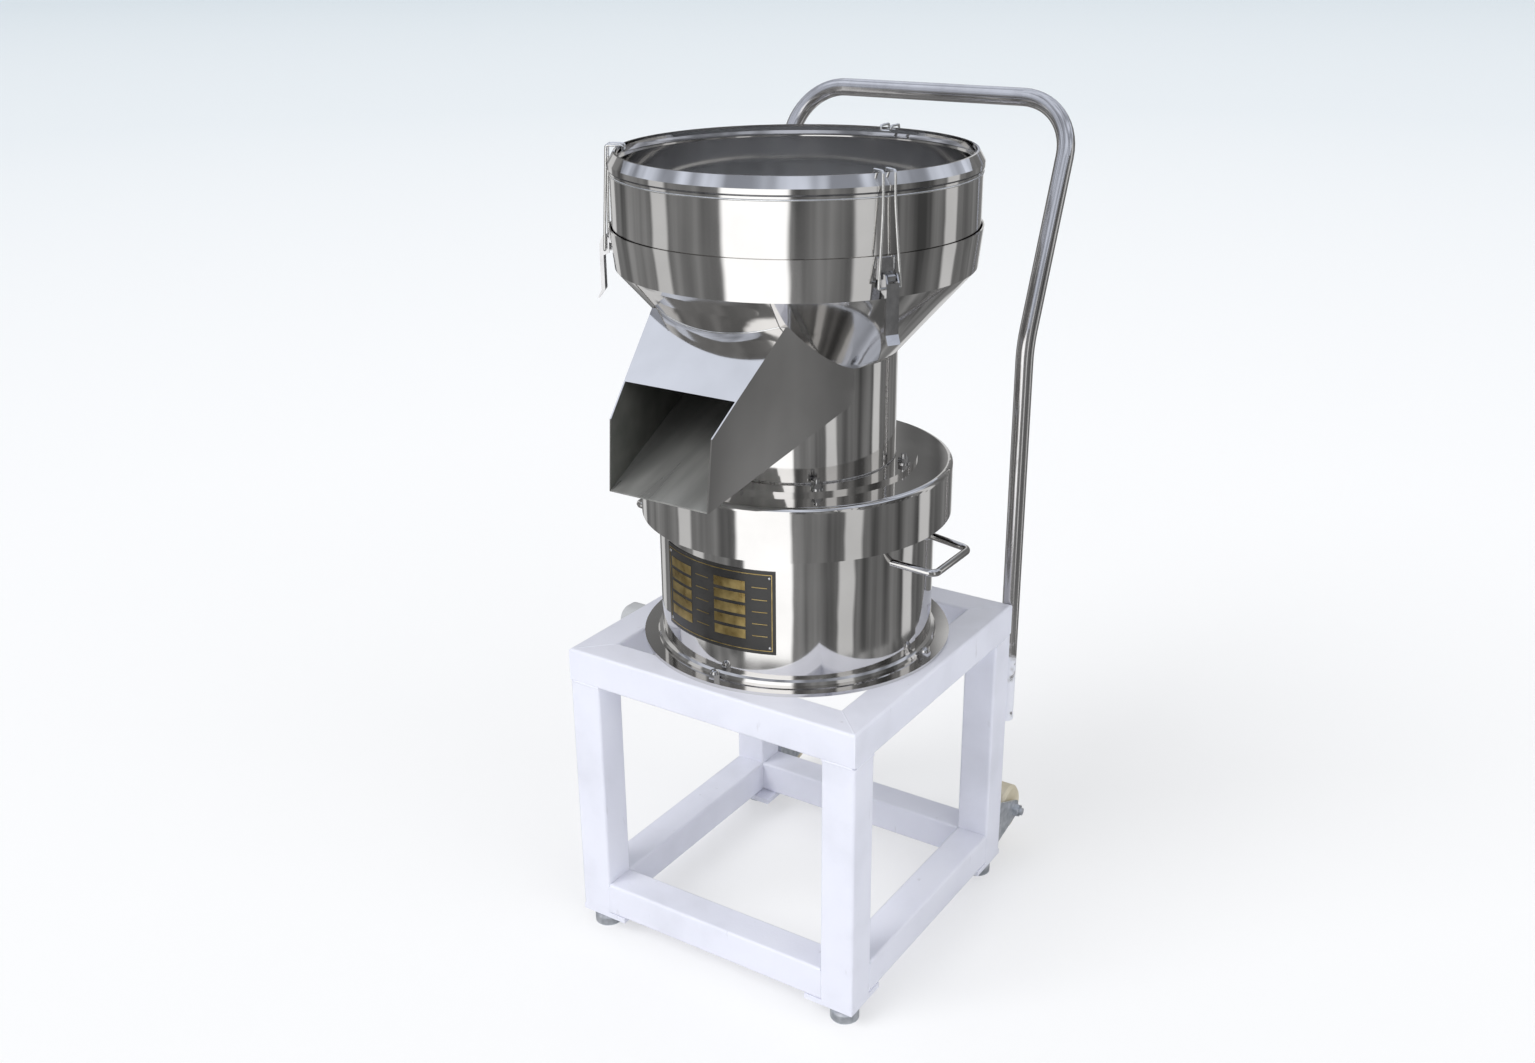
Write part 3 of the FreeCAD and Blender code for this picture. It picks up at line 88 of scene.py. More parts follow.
STEEL_DARK = (0.68, 0.67, 0.66)
STEEL_LIGHT = (0.78, 0.77, 0.76)
STEEL_SMOOTH = 0.035
STEEL_ROUGH = 0.085
STEEL_GRAIN = 7.0
STEEL_WAVE = 0.0022
STEEL_WAVE_SCALE = 4.0
INNER_METALLIC = 0.45

# Studio cards that only the polished metal sees: places in metres and degrees, tones by choice

CARD_RADIUS = 1.15
CARD_TOP = 1.35
CARD_EDGE = 3.0
MAIN_CARD = 10.0
MAIN_HALF = 17.0
MAIN_TONE = 1.35
STRIP_STEP = 60.0
STRIP_HALF = 5.0
STRIP_TONE = 0.65
DIM_LOW = 0.06
DIM_HIGH = 0.30


def around(radius, azimuth, z):
    """The point at that radius, azimuth in degrees from the front towards the right, and height."""
    a = math.radians(azimuth)
    return Vector((radius * math.sin(a), -radius * math.cos(a), z))


# Materials

def new_material(name):
    made = bpy.data.materials.new(name)
    made.use_nodes = True
    return made, made.node_tree.nodes["Principled BSDF"]


def add_node(made, kind, **inputs):
    node = made.node_tree.nodes.new(kind)
    for key, value in inputs.items():
        node.inputs[key.replace("_", " ")].default_value = value
    return node


def join(made, output, target):
    made.node_tree.links.new(output, target)


def feed(made, value, target):
    """Value is another node's output, or a fixed number or colour."""
    if isinstance(value, bpy.types.NodeSocket):
        join(made, value, target)
    else:
        target.default_value = value


def combine(made, operation, *values):
    node = add_node(made, "ShaderNodeMath")
    node.operation = operation
    for target, value in zip(node.inputs, values):
        feed(made, value, target)
    return node.outputs["Value"]


def mix_colours(made, share, first, second, kind="MIX"):
    """The first colour where share is 0 and the second where it is 1."""
    node = add_node(made, "ShaderNodeMix")
    node.data_type = "RGBA"
    node.blend_type = kind
    for value, target in ((share, 0), (first, 6), (second, 7)):
        feed(made, value, node.inputs[target])
    return node.outputs[2]


def mix_numbers(made, share, first, second):
    node = add_node(made, "ShaderNodeMix")
    for value, target in ((share, "Factor"), (first, "A"), (second, "B")):
        feed(made, value, node.inputs[target])
    return node.outputs["Result"]


def separated(made, vector):
    node = add_node(made, "ShaderNodeSeparateXYZ")
    join(made, vector, node.inputs["Vector"])
    return node.outputs


def object_coordinates(made, stretch=(1, 1, 1)):
    """The object's own coordinates, scaled differently along each axis."""
    source = add_node(made, "ShaderNodeTexCoord")
    mapping = add_node(made, "ShaderNodeMapping", Scale=stretch)
    join(made, source.outputs["Object"], mapping.inputs["Vector"])
    return mapping.outputs["Vector"]


def noise(made, scale, detail=3.0, stretch=(1, 1, 1)):
    node = add_node(made, "ShaderNodeTexNoise", Scale=scale, Detail=detail)
    join(made, object_coordinates(made, stretch), node.inputs["Vector"])
    return node.outputs["Fac"]


def ramp(made, value, stops):
    """Colours along a value: stops are (position, colour)."""
    node = add_node(made, "ShaderNodeValToRGB")
    elements = node.color_ramp.elements
    while len(elements) < len(stops):
        elements.new(0.5)
    for element, (position, colour) in zip(elements, stops):
        element.position = position
        element.color = (*colour, 1)
    join(made, value, node.inputs["Fac"])
    return node.outputs["Color"]


def spread(made, value, low, high, start=0.3, end=0.7):
    """A value from low to high as the texture goes from start to end."""
    node = add_node(made, "ShaderNodeMapRange", From_Min=start, From_Max=end, To_Min=low, To_Max=high)
    join(made, value, node.inputs["Value"])
    return node.outputs["Result"]


def bump(made, shader, height, distance):
    node = add_node(made, "ShaderNodeBump", Strength=1.0, Distance=distance)
    join(made, height, node.inputs["Height"])
    join(made, node.outputs["Normal"], shader.inputs["Normal"])


def metal(name, dark, light, smooth, rough, grain, metallic=1.0, wave=0.0):
    """A bare metal: tone and roughness vary with the grain, and a slow wave bends the reflections."""
    made, shader = new_material(name)
    shader.inputs["Metallic"].default_value = metallic
    tone = noise(made, grain, 4.0)
    join(made, ramp(made, tone, [(0.35, dark), (0.65, light)]), shader.inputs["Base Color"])
    join(made, spread(made, tone, smooth, rough), shader.inputs["Roughness"])
    if wave:
        bump(made, shader, noise(made, STEEL_WAVE_SCALE, 1.0), wave)
    return made


def plastic(name, colour, worn, roughness, grain, depth):
    """Moulded plastic: a fine grain and slight change of tone."""
    made, shader = new_material(name)
    tone = noise(made, 14.0, 4.0)
    join(made, ramp(made, tone, [(0.35, colour), (0.7, worn)]), shader.inputs["Base Color"])
    join(made, spread(made, tone, roughness - 0.06, roughness + 0.08), shader.inputs["Roughness"])
    bump(made, shader, noise(made, grain, 2.0), depth)
    return made


def white_paint():
    made, shader = new_material("white_paint")
    tone = noise(made, 9.0, 5.0)
    colour = ramp(made, tone, [
        (0.25, (0.74, 0.75, 0.83)), (0.5, (0.82, 0.83, 0.92)), (0.8, (0.85, 0.86, 0.94)),
    ])
    scuffs = noise(made, 60.0, 6.0, (1.0, 1.0, 0.25))
    marks = ramp(made, scuffs, [(0.69, (1, 1, 1)), (0.76, (0.72, 0.71, 0.70))])
    join(made, mix_colours(made, 0.5, colour, marks, "MULTIPLY"), shader.inputs["Base Color"])
    join(made, spread(made, tone, 0.28, 0.42), shader.inputs["Roughness"])
    shader.inputs["Coat Weight"].default_value = 0.25
    shader.inputs["Coat Roughness"].default_value = 0.12
    bump(made, shader, noise(made, 260.0, 2.0), 0.0002)
    return made


def handle_tube():
    """Polished tube with the stand's white paint smeared over its lowest part."""
    made, shader = new_material("handle_tube")
    streaks = noise(made, 40.0, 4.0, (1.0, 1.0, 0.08))
    steel = ramp(made, streaks, [(0.3, (0.60, 0.59, 0.59)), (0.7, (0.74, 0.73, 0.73))])
    source = add_node(made, "ShaderNodeTexCoord")
    below = spread(made, separated(made, source.outputs["Object"])["Z"], 0.62, 0.0, 0.30, 0.47)
    patches = combine(made, "ADD", below, noise(made, 45.0, 5.0))
    cover = spread(made, patches, 0.0, 1.0, 0.82, 0.95)
    join(made, mix_colours(made, cover, steel, (0.80, 0.81, 0.88, 1)), shader.inputs["Base Color"])
    join(made, spread(made, cover, 1.0, 0.0, 0.0, 1.0), shader.inputs["Metallic"])
    join(made, spread(made, cover, 0.16, 0.4, 0.0, 1.0), shader.inputs["Roughness"])
    return made


def chute_steel():
    """Polished outside; the inner and downward faces are rougher and less metallic, and their dark colour is
    painted shade inside and under the chute.
    """
    made, shader = new_material("chute_steel")
    tone = noise(made, STEEL_GRAIN, 4.0)
    source = add_node(made, "ShaderNodeTexCoord")
    place = separated(made, source.outputs["Object"])
    facing = separated(made, source.outputs["Normal"])
    inward = spread(made, combine(made, "MULTIPLY", place["X"], facing["X"]), 1.0, 0.0, -0.05, -0.02)
    below = spread(made, facing["Z"], 1.0, 0.0, -0.6, -0.4)
    shade_and_rough = combine(made, "MAXIMUM", inward, below)
    outer = ramp(made, tone, [(0.35, STEEL_DARK), (0.65, STEEL_LIGHT)])
    # Dark tones of the inner and downward faces: painted shade.
    inner = ramp(made, noise(made, 22.0, 4.0), [(0.3, (0.15, 0.155, 0.14)), (0.7, (0.24, 0.24, 0.22))])
    join(made, mix_colours(made, shade_and_rough, outer, inner), shader.inputs["Base Color"])
    join(made, spread(made, shade_and_rough, 1.0, INNER_METALLIC, 0.0, 1.0), shader.inputs["Metallic"])
    polish = spread(made, tone, STEEL_SMOOTH, STEEL_ROUGH)
    join(made, combine(made, "MULTIPLY_ADD", shade_and_rough, 0.3, polish), shader.inputs["Roughness"])
    bump(made, shader, noise(made, STEEL_WAVE_SCALE, 1.0), STEEL_WAVE)
    return made


def chute_floor_steel():
    """Brushed sheet with streaks along the way the product runs."""
    made, shader = new_material("chute_floor_steel")
    streaks = noise(made, 34.0, 4.0, (1.0, 0.12, 0.12))
    tones = ramp(made, streaks, [(0.3, (0.28, 0.28, 0.27)), (0.7, (0.46, 0.46, 0.44))])
    join(made, tones, shader.inputs["Base Color"])
    shader.inputs["Metallic"].default_value = INNER_METALLIC
    join(made, spread(made, streaks, 0.24, 0.40), shader.inputs["Roughness"])
    return made


def woven_mesh():
    """Fine woven wire: two crossed waves give the bright wires and the dark gaps between them; the dark of
    the gaps is painted shade.
    """
    made, shader = new_material("woven_mesh")
    shader.inputs["Metallic"].default_value = 1.0
    shader.inputs["Roughness"].default_value = 0.38
    waves = []
    for direction in ("X", "Y"):
        wave = add_node(made, "ShaderNodeTexWave", Scale=340.0)
        wave.bands_direction = direction
        join(made, object_coordinates(made), wave.inputs["Vector"])
        waves.append(wave.outputs["Fac"])
    woven = combine(made, "MAXIMUM", *waves)
    # The dark stop of these tones is painted shade in the gaps between the wires.
    tones = ramp(made, woven, [(0.3, (0.10, 0.10, 0.10)), (0.9, (0.46, 0.46, 0.45))])
    join(made, tones, shader.inputs["Base Color"])
    bump(made, shader, woven, 0.0003)
    return made


def nameplate_black():
    made, shader = new_material("nameplate_black")
    tone = noise(made, 30.0, 4.0)
    tones = ramp(made, tone, [(0.3, (0.012, 0.012, 0.012)), (0.7, (0.03, 0.028, 0.026))])
    join(made, tones, shader.inputs["Base Color"])
    join(made, spread(made, tone, 0.28, 0.42), shader.inputs["Roughness"])
    shader.inputs["Coat Weight"].default_value = 0.3
    shader.inputs["Coat Roughness"].default_value = 0.2
    return made


CHROME = metal(
    "polished_stainless", STEEL_DARK, STEEL_LIGHT, STEEL_SMOOTH, STEEL_ROUGH, STEEL_GRAIN, wave=STEEL_WAVE,
)
SATIN = metal("satin_stainless", (0.60, 0.60, 0.59), (0.72, 0.71, 0.70), 0.16, 0.28, 60.0)
ZINC = metal("zinc_steel", (0.46, 0.49, 0.53), (0.68, 0.70, 0.74), 0.30, 0.46, 90.0, metallic=0.6)
BOLT = metal("bright_fastener", (0.50, 0.50, 0.51), (0.68, 0.68, 0.69), 0.10, 0.20, 40.0)
WIRE = metal("bright_wire", (0.80, 0.80, 0.79), (0.92, 0.92, 0.91), 0.14, 0.24, 120.0)
SPRING = metal("spring_steel", (0.16, 0.16, 0.17), (0.30, 0.30, 0.31), 0.28, 0.42, 50.0)
WELD = metal("weld_bead", (0.30, 0.29, 0.28), (0.58, 0.57, 0.56), 0.22, 0.42, 260.0)
GOLD = metal("gold_field", (0.36, 0.26, 0.10), (0.60, 0.46, 0.20), 0.26, 0.42, 70.0)
HANDLE = handle_tube()
PAINT = white_paint()
MESH = woven_mesh()
PLATE = nameplate_black()
RUBBER = plastic("silicone_gasket", (0.55, 0.54, 0.52), (0.66, 0.65, 0.62), 0.50, 300.0, 0.0001)
CAST = plastic("motor_cast", (0.05, 0.07, 0.09), (0.09, 0.11, 0.14), 0.48, 420.0, 0.0005)
NYLON = plastic("beige_nylon", (0.62, 0.55, 0.40), (0.74, 0.68, 0.54), 0.42, 200.0, 0.0002)
GREY = plastic("grey_plastic", (0.50, 0.51, 0.52), (0.60, 0.61, 0.62), 0.40, 500.0, 0.0002)
BLACK = plastic("black_plastic", (0.015, 0.015, 0.016), (0.04, 0.04, 0.042), 0.36, 500.0, 0.0002)

FINISHES = {
    "white_paint": PAINT,
    "stainless_tube": HANDLE,
    "polished_stainless": CHROME,
    "bright_fastener": BOLT,
    "zinc_steel": ZINC,
    "black_plate": PLATE,
    "spring_steel": SPRING,
    "silicone": RUBBER,
    "woven_mesh": MESH,
    "motor_cast": CAST,
    "beige_nylon": NYLON,
    "grey_plastic": GREY,
    "black_plastic": BLACK,
}
OWN_FINISH = {
    "push_handle": HANDLE, "foot_plates": PAINT, "screen_ring": SATIN,
    "chute": chute_steel(), "chute_floor": chute_floor_steel(),
}
for prefix in ("leg_", "top_rail_", "bottom_rail_"):
    OWN_FINISH.update({name: PAINT for name in frame["nodes"] if name.startswith(prefix)})

slots = {entry["node"]: entry["material_slot"] for entry in frame["record"]["subparts"]}
for name, thing in frame["nodes"].items():
    for part in thing.material_slots:
        part.material = OWN_FINISH.get(name) or FINISHES[slots[name]]


# Small fittings

def to_object(name, mesh, body, finish, smooth=True):
    """Makes an object of a bmesh, gives it its finish and lets it ride on that body."""
    data = bpy.data.meshes.new(name)
    mesh.to_mesh(data)
    mesh.free()
    for face in data.polygons:
        face.use_smooth = smooth
    data.materials.append(finish)
    made = bpy.data.objects.new(name, data)
    bpy.context.collection.objects.link(made)
    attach(made, body)
    return made


def curved_patch(mesh, radius, thickness, start, end, low, high, steps=12):
    """A sheet bent round the machine's axis, from azimuth start to end and from height low to high."""
    rows = []
    for step in range(steps + 1):
        azimuth = start + (end - start) * step / steps
        rows.append([
            mesh.verts.new(around(r, azimuth, z))
            for r, z in ((radius, low), (radius + thickness, low), (radius + thickness, high), (radius, high))
        ])
    for a, b in zip(rows, rows[1:]):
        for k in range(4):
            mesh.faces.new((a[k], b[k], b[(k + 1) % 4], a[(k + 1) % 4]))
    mesh.faces.new(rows[0])
    mesh.faces.new(rows[-1][::-1])


def wire(name, points, radius, body, finish, closed=False, rounded=False):
    """A thin round bead or wire along points, with rounded bends if asked."""
    curve = bpy.data.curves.new(name, "CURVE")
    curve.dimensions = "3D"
    curve.bevel_depth = radius
    curve.bevel_resolution = 3
    curve.use_fill_caps = True
    line = curve.splines.new("NURBS" if rounded else "POLY")
    line.points.add(len(points) - 1)
    for point, place in zip(line.points, points):
        point.co = (*place, 1)
    line.use_cyclic_u = closed
    line.use_smooth = True
    if rounded:
        line.order_u = 3
        line.use_endpoint_u = True
        line.resolution_u = 6
    curve.materials.append(finish)
    made = bpy.data.objects.new(name, curve)
    bpy.context.collection.objects.link(made)
    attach(made, body)
    return made


def dome_head(mesh, centre, normal, radius, height):
    """A low rivet or screw head, turned from its profile, on a face with that normal."""
    turn = Vector((0, 0, 1)).rotation_difference(Vector(normal)).to_matrix().to_4x4()
    place = Matrix.Translation(Vector(centre)) @ turn
    sides = 16
    angles = [math.tau * k / sides for k in range(sides)]
    rings = []
    for share, rise in ((1.0, 0.0), (0.95, 0.45), (0.72, 0.82), (0.38, 0.97)):
        wide, z = radius * share, height * rise
        points = [Vector((wide * math.cos(a), wide * math.sin(a), z)) for a in angles]
        rings.append([mesh.verts.new(place @ point) for point in points])
    for low, high in zip(rings, rings[1:]):
        for k in range(sides):
            mesh.faces.new((low[k], low[(k + 1) % sides], high[(k + 1) % sides], high[k]))
    top = mesh.verts.new(place @ Vector((0, 0, height)))
    for k in range(sides):
        mesh.faces.new((rings[-1][k], rings[-1][(k + 1) % sides], top))


def make_nameplate_fields():
    """A gold border and bare gold fields on the black plate, with a rivet in each corner."""
    start = PLATE_TURN - PLATE_SWEEP / 2
    fields = bmesh.new()
    gold = 0.0003
    line = 0.0011
    line_angle = math.degrees(line / PLATE_RADIUS)
    inset = 1.3
    low = PLATE_BOTTOM + 0.0045
    high = PLATE_TOP - 0.0045
    left = start + inset
    right = start + PLATE_SWEEP - inset
    for begin, end, bottom, top, steps in (
        (left, right, low, low + line, 30), (left, right, high - line, high, 30),
        (left, left + line_angle, low, high, 2), (right - line_angle, right, low, high, 2),
    ):
        curved_patch(fields, PLATE_RADIUS, gold, begin, end, bottom, top, steps)
    rows = 5
    pitch = 0.0172
    for row in range(rows):
        bottom = PLATE_BOTTOM + 0.0195 + row * pitch
        for begin, width, low_edge, high_edge in (
            (0.06, 0.25, 0.0, 0.0128), (0.53, 0.25, 0.0, 0.0128),
            (0.36, 0.12, 0.0056, 0.0066), (0.83, 0.11, 0.0056, 0.0066),
        ):
            curved_patch(
                fields, PLATE_RADIUS, gold,
                start + PLATE_SWEEP * begin, start + PLATE_SWEEP * (begin + width),
                bottom + low_edge, bottom + high_edge,
            )
    to_object("nameplate_fields", fields, "stand", GOLD, smooth=False)
    rivets = bmesh.new()
    for azimuth in (left + 1.1, right - 1.1):
        for z in (low + 0.005, high - 0.005):
            dome_head(rivets, around(PLATE_RADIUS, azimuth, z), around(1, azimuth, 0), 0.0024, 0.0013)
    to_object("nameplate_rivets", rivets, "stand", BOLT)


def ring_points(radius, z, count=96):
    return [around(radius, 360 * k / count, z) for k in range(count)]


def make_weld_beads():
    """Polished weld beads: round the neck, down its seam and along the hood's edges."""
    foot = ring_points(NECK_RADIUS, CAP_TOP + 0.0055)
    wire("neck_weld", foot, 0.0011, "deck", WELD, closed=True)
    start = CAP_TOP + 0.006
    seam = [around(NECK_RADIUS + 0.0001, 92, start + (NECK_TOP - start) * k / 8) for k in range(9)]
    wire("neck_seam", seam, 0.0006, "deck", WELD)
    for side, sign in (("left", -1), ("right", 1)):
        seam = [hood_point((sign + 1) / 2, k / 12) for k in range(13)]
        wire("hood_seam_" + side, seam, 0.0007, "deck", WELD)
    low_edge = [hood_point(k / 24, 0) for k in range(25)]
    wire("hood_seam_front", low_edge, 0.0010, "deck", WIRE)


def make_rim_lines():
    """A dark ring in the frame's groove, as painted shade, and the thin rolled bead under it."""
    groove = FRAME_TOP - 0.0212
    for name, radius, height, thick, finish in (
        # The groove ring's dark finish is painted shade in the groove.
        ("rim_groove_shade_line", 0.2364, groove, 0.0011, SPRING),
        ("rim_bead", 0.2371, groove - 0.0052, 0.0012, WIRE),
    ):
        wire(name, ring_points(radius, height), thick, "deck", finish, closed=True)


def hood_point(across, rise):
    """On the hood: its low edge dips on the chute's top plate, its high edge follows the band."""
    side = 2 * across - 1
    dip = HOOD_DIP * (1 - side * side)
    low = Vector((
        HOOD_HALF * side,
        PLATE_HIGH[0] + (PLATE_KNEE[0] - PLATE_HIGH[0]) * dip,
        PLATE_HIGH[1] + (PLATE_KNEE[1] - PLATE_HIGH[1]) * dip,
    ))
    high = around(CONE_RADIUS, HOOD_TURN * side, CONE_TOP)
    hollow = Vector((0, 0.0035, 0.0025)) * math.sin(math.pi * rise) * (1 - side ** 4)
    return low.lerp(high, rise) + hollow


def make_hood():
    """Dished sheet that closes the gap between the chute's top plate and the band."""
    across, rise = 24, 10
    sheet = bmesh.new()
    inward = Vector((0, 0.0010, 0.0007))
    for offset, order in ((Vector((0, 0, 0)), 1), (inward, -1)):
        grid = [[sheet.verts.new(hood_point(a / across, b / rise) + offset) for b in range(rise + 1)]
                for a in range(across + 1)]
        for a in range(across):
            for b in range(rise):
                corners = (grid[a][b], grid[a + 1][b], grid[a + 1][b + 1], grid[a][b + 1])
                sheet.faces.new(corners[::order])
    border = [hood_point(a / across, 0) for a in range(across)]
    border += [hood_point(1, b / rise) for b in range(rise)]
    border += [hood_point(1 - a / across, 1) for a in range(across)]
    border += [hood_point(0, 1 - b / rise) for b in range(rise)]
    outer = [sheet.verts.new(point) for point in border]
    inner = [sheet.verts.new(point + inward) for point in border]
    for k in range(len(border)):
        after = (k + 1) % len(border)
        sheet.faces.new((outer[after], outer[k], inner[k], inner[after]))
    made = to_object("hood_sheet", sheet, "deck", CHROME)
    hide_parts("hood_panel")


def make_bails():
    """The latch wires: wide at the lever's ears, narrow where they hook over the frame's rim."""
    half = [
        (0.0065, LATCH_RADIUS, BAIL_FOOT), (0.0125, LATCH_RADIUS, BAIL_FOOT),
        (0.0145, LATCH_RADIUS, BAIL_FOOT),
        (0.0143, LATCH_RADIUS - 0.0001, BAIL_FOOT + 0.004), (0.0084, 0.2452, FRAME_TOP - 0.044),
        (0.0078, 0.2437, FRAME_TOP - 0.020), (0.0080, 0.2429, FRAME_TOP - 0.003),
        (0.0080, 0.2421, FRAME_TOP + 0.0033), (0.0080, 0.2360, FRAME_TOP + 0.0031),
        (0.0080, 0.2250, FRAME_TOP + 0.0030), (0.0080, 0.2212, FRAME_TOP + 0.0026),
        (0.0078, 0.2208, FRAME_TOP - 0.0030), (0.0065, 0.2208, FRAME_TOP - 0.0040),
        (0.0, 0.2208, FRAME_TOP - 0.0040),
    ]
    thick = 0.0018
    for number, azimuth in LATCHES.items():
        aside = Vector((math.cos(math.radians(azimuth)), math.sin(math.radians(azimuth)), 0))
        left = [around(r, azimuth, z) - aside * x for x, r, z in half]
        right = [around(r, azimuth, z) + aside * x for x, r, z in half[-2::-1]]
        body = "bail_" + number
        made = wire("bail_wire_" + number, left + right, thick, body, WIRE, rounded=True)
        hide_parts("latch_bail_" + number)


def make_stand_welds():
    """Weld lines of the stand, ground nearly flush and painted over, on the outer faces and the top."""
    sunk = 0.0017
    edge = HALF_STAND - TUBE
    under_rail = STAND_TOP - TUBE
    low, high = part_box("bottom_rail_front")
    lines = []
    for one in (-1, 1):
        for two in (-1, 1):
            face = one * (HALF_STAND - sunk)
            near = edge + 0.001
            far = HALF_STAND - 0.004
            lines.append([(two * near, face, under_rail), (two * far, face, under_rail)])
            lines.append([(face, two * near, under_rail), (face, two * far, under_rail)])
            lines.append([(two * edge, face, low[2] + 0.003), (two * edge, face, high[2] - 0.003)])
            lines.append([(face, two * edge, low[2] + 0.003), (face, two * edge, high[2] - 0.003)])
            top = STAND_TOP - sunk
            near = edge + 0.003
            lines.append([(one * near, two * near, top), (one * far, two * far, top)])
    steps = 6
    for number, (start, end) in enumerate(lines):
        points = [Vector(start).lerp(Vector(end), k / steps) for k in range(steps + 1)]
        wire(f"stand_weld_{number}", points, 0.0022, "stand", PAINT)


def make_box_screws():
    """Four lid screws on the switch box."""
    low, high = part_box("switch_box_lid")
    inset = 0.011
    screws = bmesh.new()
    for y in (low[1] + inset, high[1] - inset):
        for z in (low[2] + inset, high[2] - inset):
            dome_head(screws, (low[0], y, z), (-1, 0, 0), 0.0032, 0.0014)
    to_object("box_lid_screws", screws, "stand", BOLT)


def make_spring_coils():
    """The springs as they are, copied in place of the imported part."""
    coils = bpy.data.objects.new("spring_coils", frame["nodes"]["springs"].data.copy())
    bpy.context.collection.objects.link(coils)
    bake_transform(coils)
    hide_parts("springs")


make_spring_coils()
make_nameplate_fields()
make_weld_beads()
make_rim_lines()
make_stand_welds()
make_hood()
make_bails()


# Floor, light and camera

def make_floor():
    """Pale floor whose colour darkens and turns bluer far behind, as painted shade, and that shows its shadow
    softly to the camera.
    """
    floor = bmesh.new()
    bmesh.ops.create_grid(floor, x_segments=24, y_segments=24, size=60)
    data = bpy.data.meshes.new("floor")
    floor.to_mesh(data)
    floor.free()
    made, shader = new_material("pale_floor")
    shader.inputs["Roughness"].default_value = 0.9
    shader.inputs["Specular IOR Level"].default_value = 0.1
    source = add_node(made, "ShaderNodeTexCoord")
    length = add_node(made, "ShaderNodeVectorMath")
    length.operation = "LENGTH"
    join(made, source.outputs["Object"], length.inputs[0])
    reach = spread(made, length.outputs["Value"], 0.0, 1.0, 0.0, 30.0)
    # The darker, bluer far stops of this ramp are painted shade.
    colour = ramp(made, reach, [
        (0.0, (0.95, 0.95, 0.955)), (0.08, (0.94, 0.945, 0.955)),
        (0.35, (0.80, 0.84, 0.87)), (1.0, (0.68, 0.74, 0.78)),
    ])
    join(made, colour, shader.inputs["Base Color"])
    glow = add_node(made, "ShaderNodeEmission", Strength=1.05)
    join(made, colour, glow.inputs["Color"])
    paths = add_node(made, "ShaderNodeLightPath")
    share = spread(made, paths.outputs["Is Camera Ray"], 0.0, 0.45, 0.0, 1.0)
    mixed = add_node(made, "ShaderNodeMixShader")
    for output, target in ((share, 0), (shader.outputs["BSDF"], 1), (glow.outputs["Emission"], 2)):
        join(made, output, mixed.inputs[target])
    join(made, mixed.outputs["Shader"], made.node_tree.nodes["Material Output"].inputs["Surface"])
    data.materials.append(made)
    thing = bpy.data.objects.new("floor", data)
    bpy.context.collection.objects.link(thing)


def glowing(name):
    """An emission material and the socket of its strength."""
    made = bpy.data.materials.new(name)
    made.use_nodes = True
    made.node_tree.nodes.clear()
    glow = add_node(made, "ShaderNodeEmission")
    target = add_node(made, "ShaderNodeOutputMaterial")
    join(made, glow.outputs["Emission"], target.inputs["Surface"])
    return made, glow.inputs["Strength"]


def only_in_gloss(name, shape, made):
    """Part of the stage that only reflections see."""
    data = bpy.data.meshes.new(name)
    shape.to_mesh(data)
    shape.free()
    data.materials.append(made)
    thing = bpy.data.objects.new(name, data)
    bpy.context.collection.objects.link(thing)
    thing.visible_camera = False
    thing.visible_diffuse = False
    thing.visible_shadow = False


def make_cards():
    """A ring round the machine: one wide bright card, evenly spaced strips, and a dim streaky surround."""
    ring = bmesh.new()
    curved_patch(ring, CARD_RADIUS, 0.004, -180, 180, 0.0, CARD_TOP, 72)
    made, strength = glowing("cards")
    place = separated(made, object_coordinates(made, (1, -1, 1)))
    angle = combine(made, "ARCTAN2", place["X"], place["Y"])
    wobble = 0.075
    wavy = combine(made, "MULTIPLY_ADD", noise(made, 3.0, 2.0, (1.0, 1.0, 2.5)), wobble, angle)
    turned = combine(made, "SUBTRACT", wavy, math.radians(MAIN_CARD) + wobble / 2)
    half, edge = math.radians(MAIN_HALF), math.radians(CARD_EDGE)
    main = spread(made, combine(made, "ABSOLUTE", turned), MAIN_TONE, 0.0, half, half + edge)
    nearest = combine(made, "PINGPONG", turned, math.radians(STRIP_STEP / 2))
    half = math.radians(STRIP_HALF)
    strips = spread(made, nearest, STRIP_TONE, 0.0, half, half + edge)
    surround = spread(made, noise(made, 4.0, 3.0, (1.0, 1.0, 0.15)), DIM_LOW, DIM_HIGH)
    level = combine(made, "MAXIMUM", combine(made, "MAXIMUM", main, strips), surround)
    join(made, level, strength)
    only_in_gloss("cards", ring, made)


def floor_card():
    """Dim grey mat under the machine for everything that the polished metal sees looking down."""
    mat = bmesh.new()
    bmesh.ops.create_circle(mat, cap_ends=True, segments=64, radius=CARD_RADIUS)
    bmesh.ops.translate(mat, verts=mat.verts, vec=(0, 0, 0.0012))
    made, strength = glowing("floor_card")
    join(made, spread(made, noise(made, 3.0, 2.0), 0.1, 0.4, 0.4, 0.7), strength)
    only_in_gloss("floor_card", mat, made)


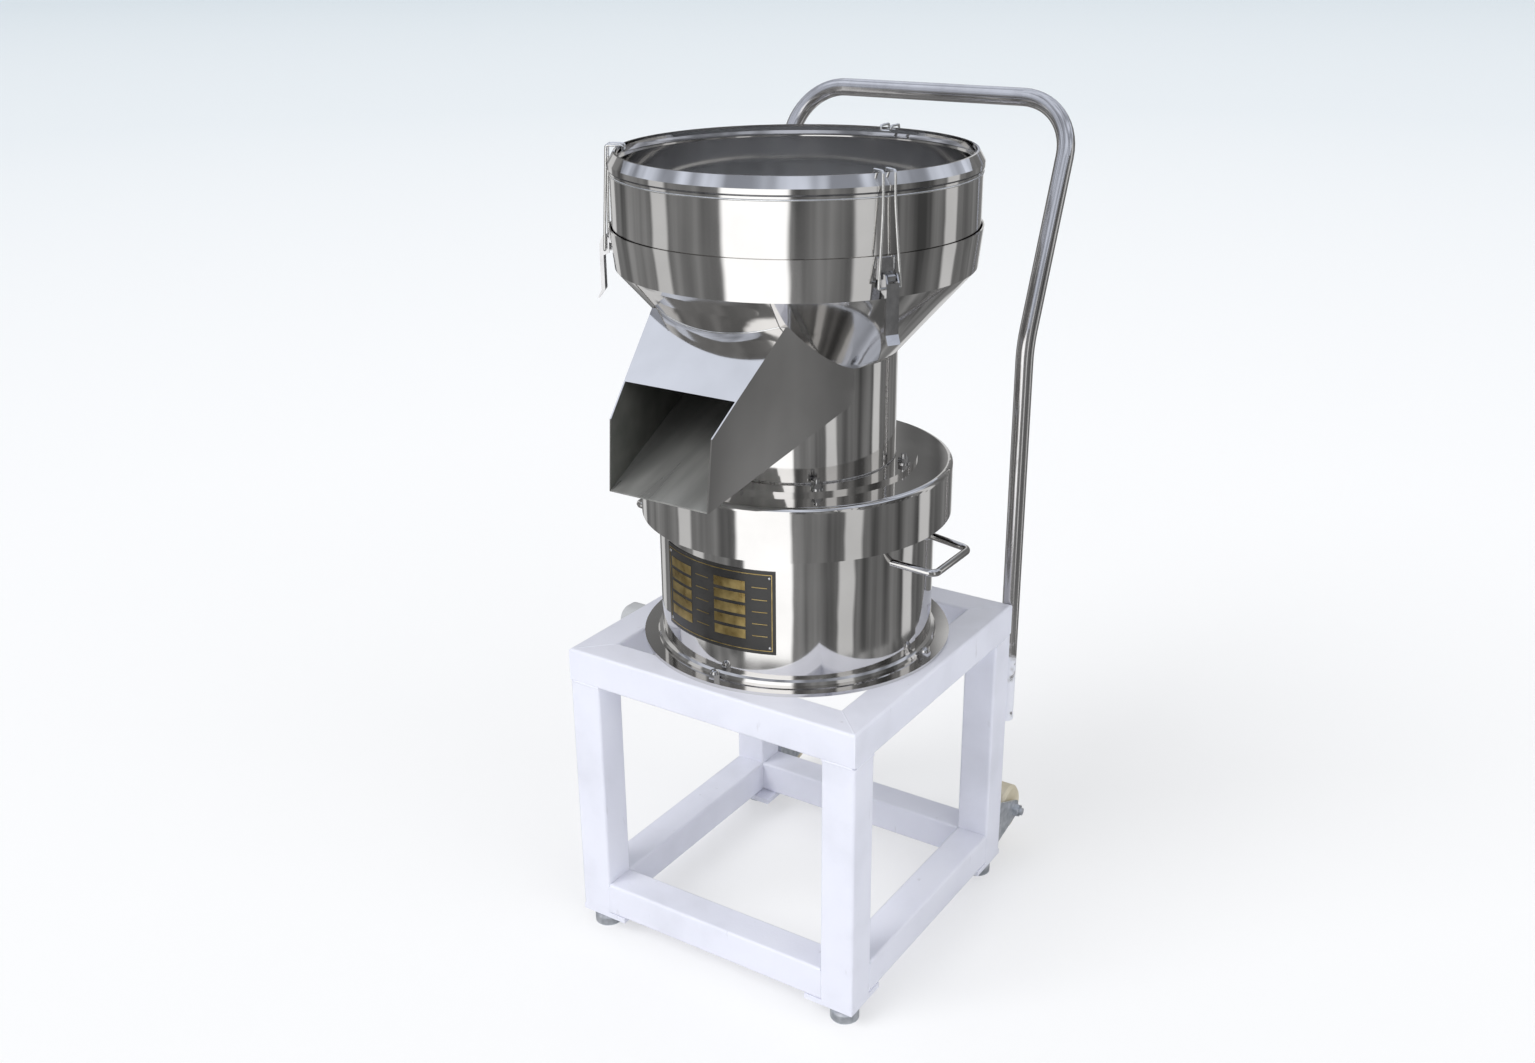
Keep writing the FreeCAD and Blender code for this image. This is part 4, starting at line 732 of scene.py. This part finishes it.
def make_light():
    """Even sky, cloudy only in reflections, and two wide soft lamps."""
    world = bpy.data.worlds.new("studio")
    bpy.context.scene.world = world
    world.use_nodes = True
    sky = world.node_tree.nodes["Background"]
    paths = add_node(world, "ShaderNodeLightPath").outputs
    place = add_node(world, "ShaderNodeTexCoord")
    cloud = add_node(world, "ShaderNodeTexNoise", Scale=3.4, Detail=2.0)
    join(world, place.outputs["Generated"], cloud.inputs["Vector"])
    level = spread(world, cloud.outputs["Fac"], 0.38, 1.05, 0.38, 0.62)
    strength = mix_numbers(world, paths["Is Glossy Ray"], 0.62, level)
    join(world, mix_numbers(world, paths["Is Camera Ray"], strength, 0.85), sky.inputs["Strength"])
    tint = mix_colours(world, paths["Is Glossy Ray"], (0.95, 0.97, 1.0, 1), (0.78, 0.83, 0.95, 1))
    join(world, tint, sky.inputs["Color"])
    for name, azimuth, elevation, power, spread_angle in (
        ("key", -25, 44, 1.45, 35), ("fill", 78, 34, 0.62, 50),
    ):
        lamp = bpy.data.lights.new(name, "SUN")
        lamp.energy = power
        lamp.angle = math.radians(spread_angle)
        thing = bpy.data.objects.new(name, lamp)
        thing.visible_glossy = False
        direction = around(math.cos(math.radians(elevation)), azimuth, math.sin(math.radians(elevation)))
        thing.rotation_mode = "QUATERNION"
        thing.rotation_quaternion = direction.to_track_quat("Z", "Y")
        bpy.context.collection.objects.link(thing)


def make_camera():
    """The camera at the photograph's angle: azimuth, elevation and roll in degrees."""
    azimuth, elevation, roll = (math.radians(angle) for angle in (33.31, 21.93, -0.55))
    level = math.cos(elevation)
    back = Vector((math.sin(azimuth) * level, -math.cos(azimuth) * level, math.sin(elevation)))
    right = (-back).cross(Vector((0, 0, 1))).normalized()
    up = right.cross(-back)
    tilted_right = right * math.cos(roll) + up * math.sin(roll)
    tilted_up = up * math.cos(roll) - right * math.sin(roll)
    data = bpy.data.cameras.new("camera")
    data.lens = 35.92
    data.sensor_width = 36.0
    data.clip_end = 200
    thing = bpy.data.objects.new("camera", data)
    thing.rotation_mode = "QUATERNION"
    thing.rotation_quaternion = Matrix((tilted_right, tilted_up, back)).transposed().to_quaternion()
    thing.location = (1.05398, -1.67774, 1.39736)
    bpy.context.collection.objects.link(thing)
    bpy.context.scene.camera = thing


make_floor()
make_cards()
floor_card()
make_light()
make_camera()
make_box_screws()
bpy.context.scene.view_settings.view_transform = "Standard"
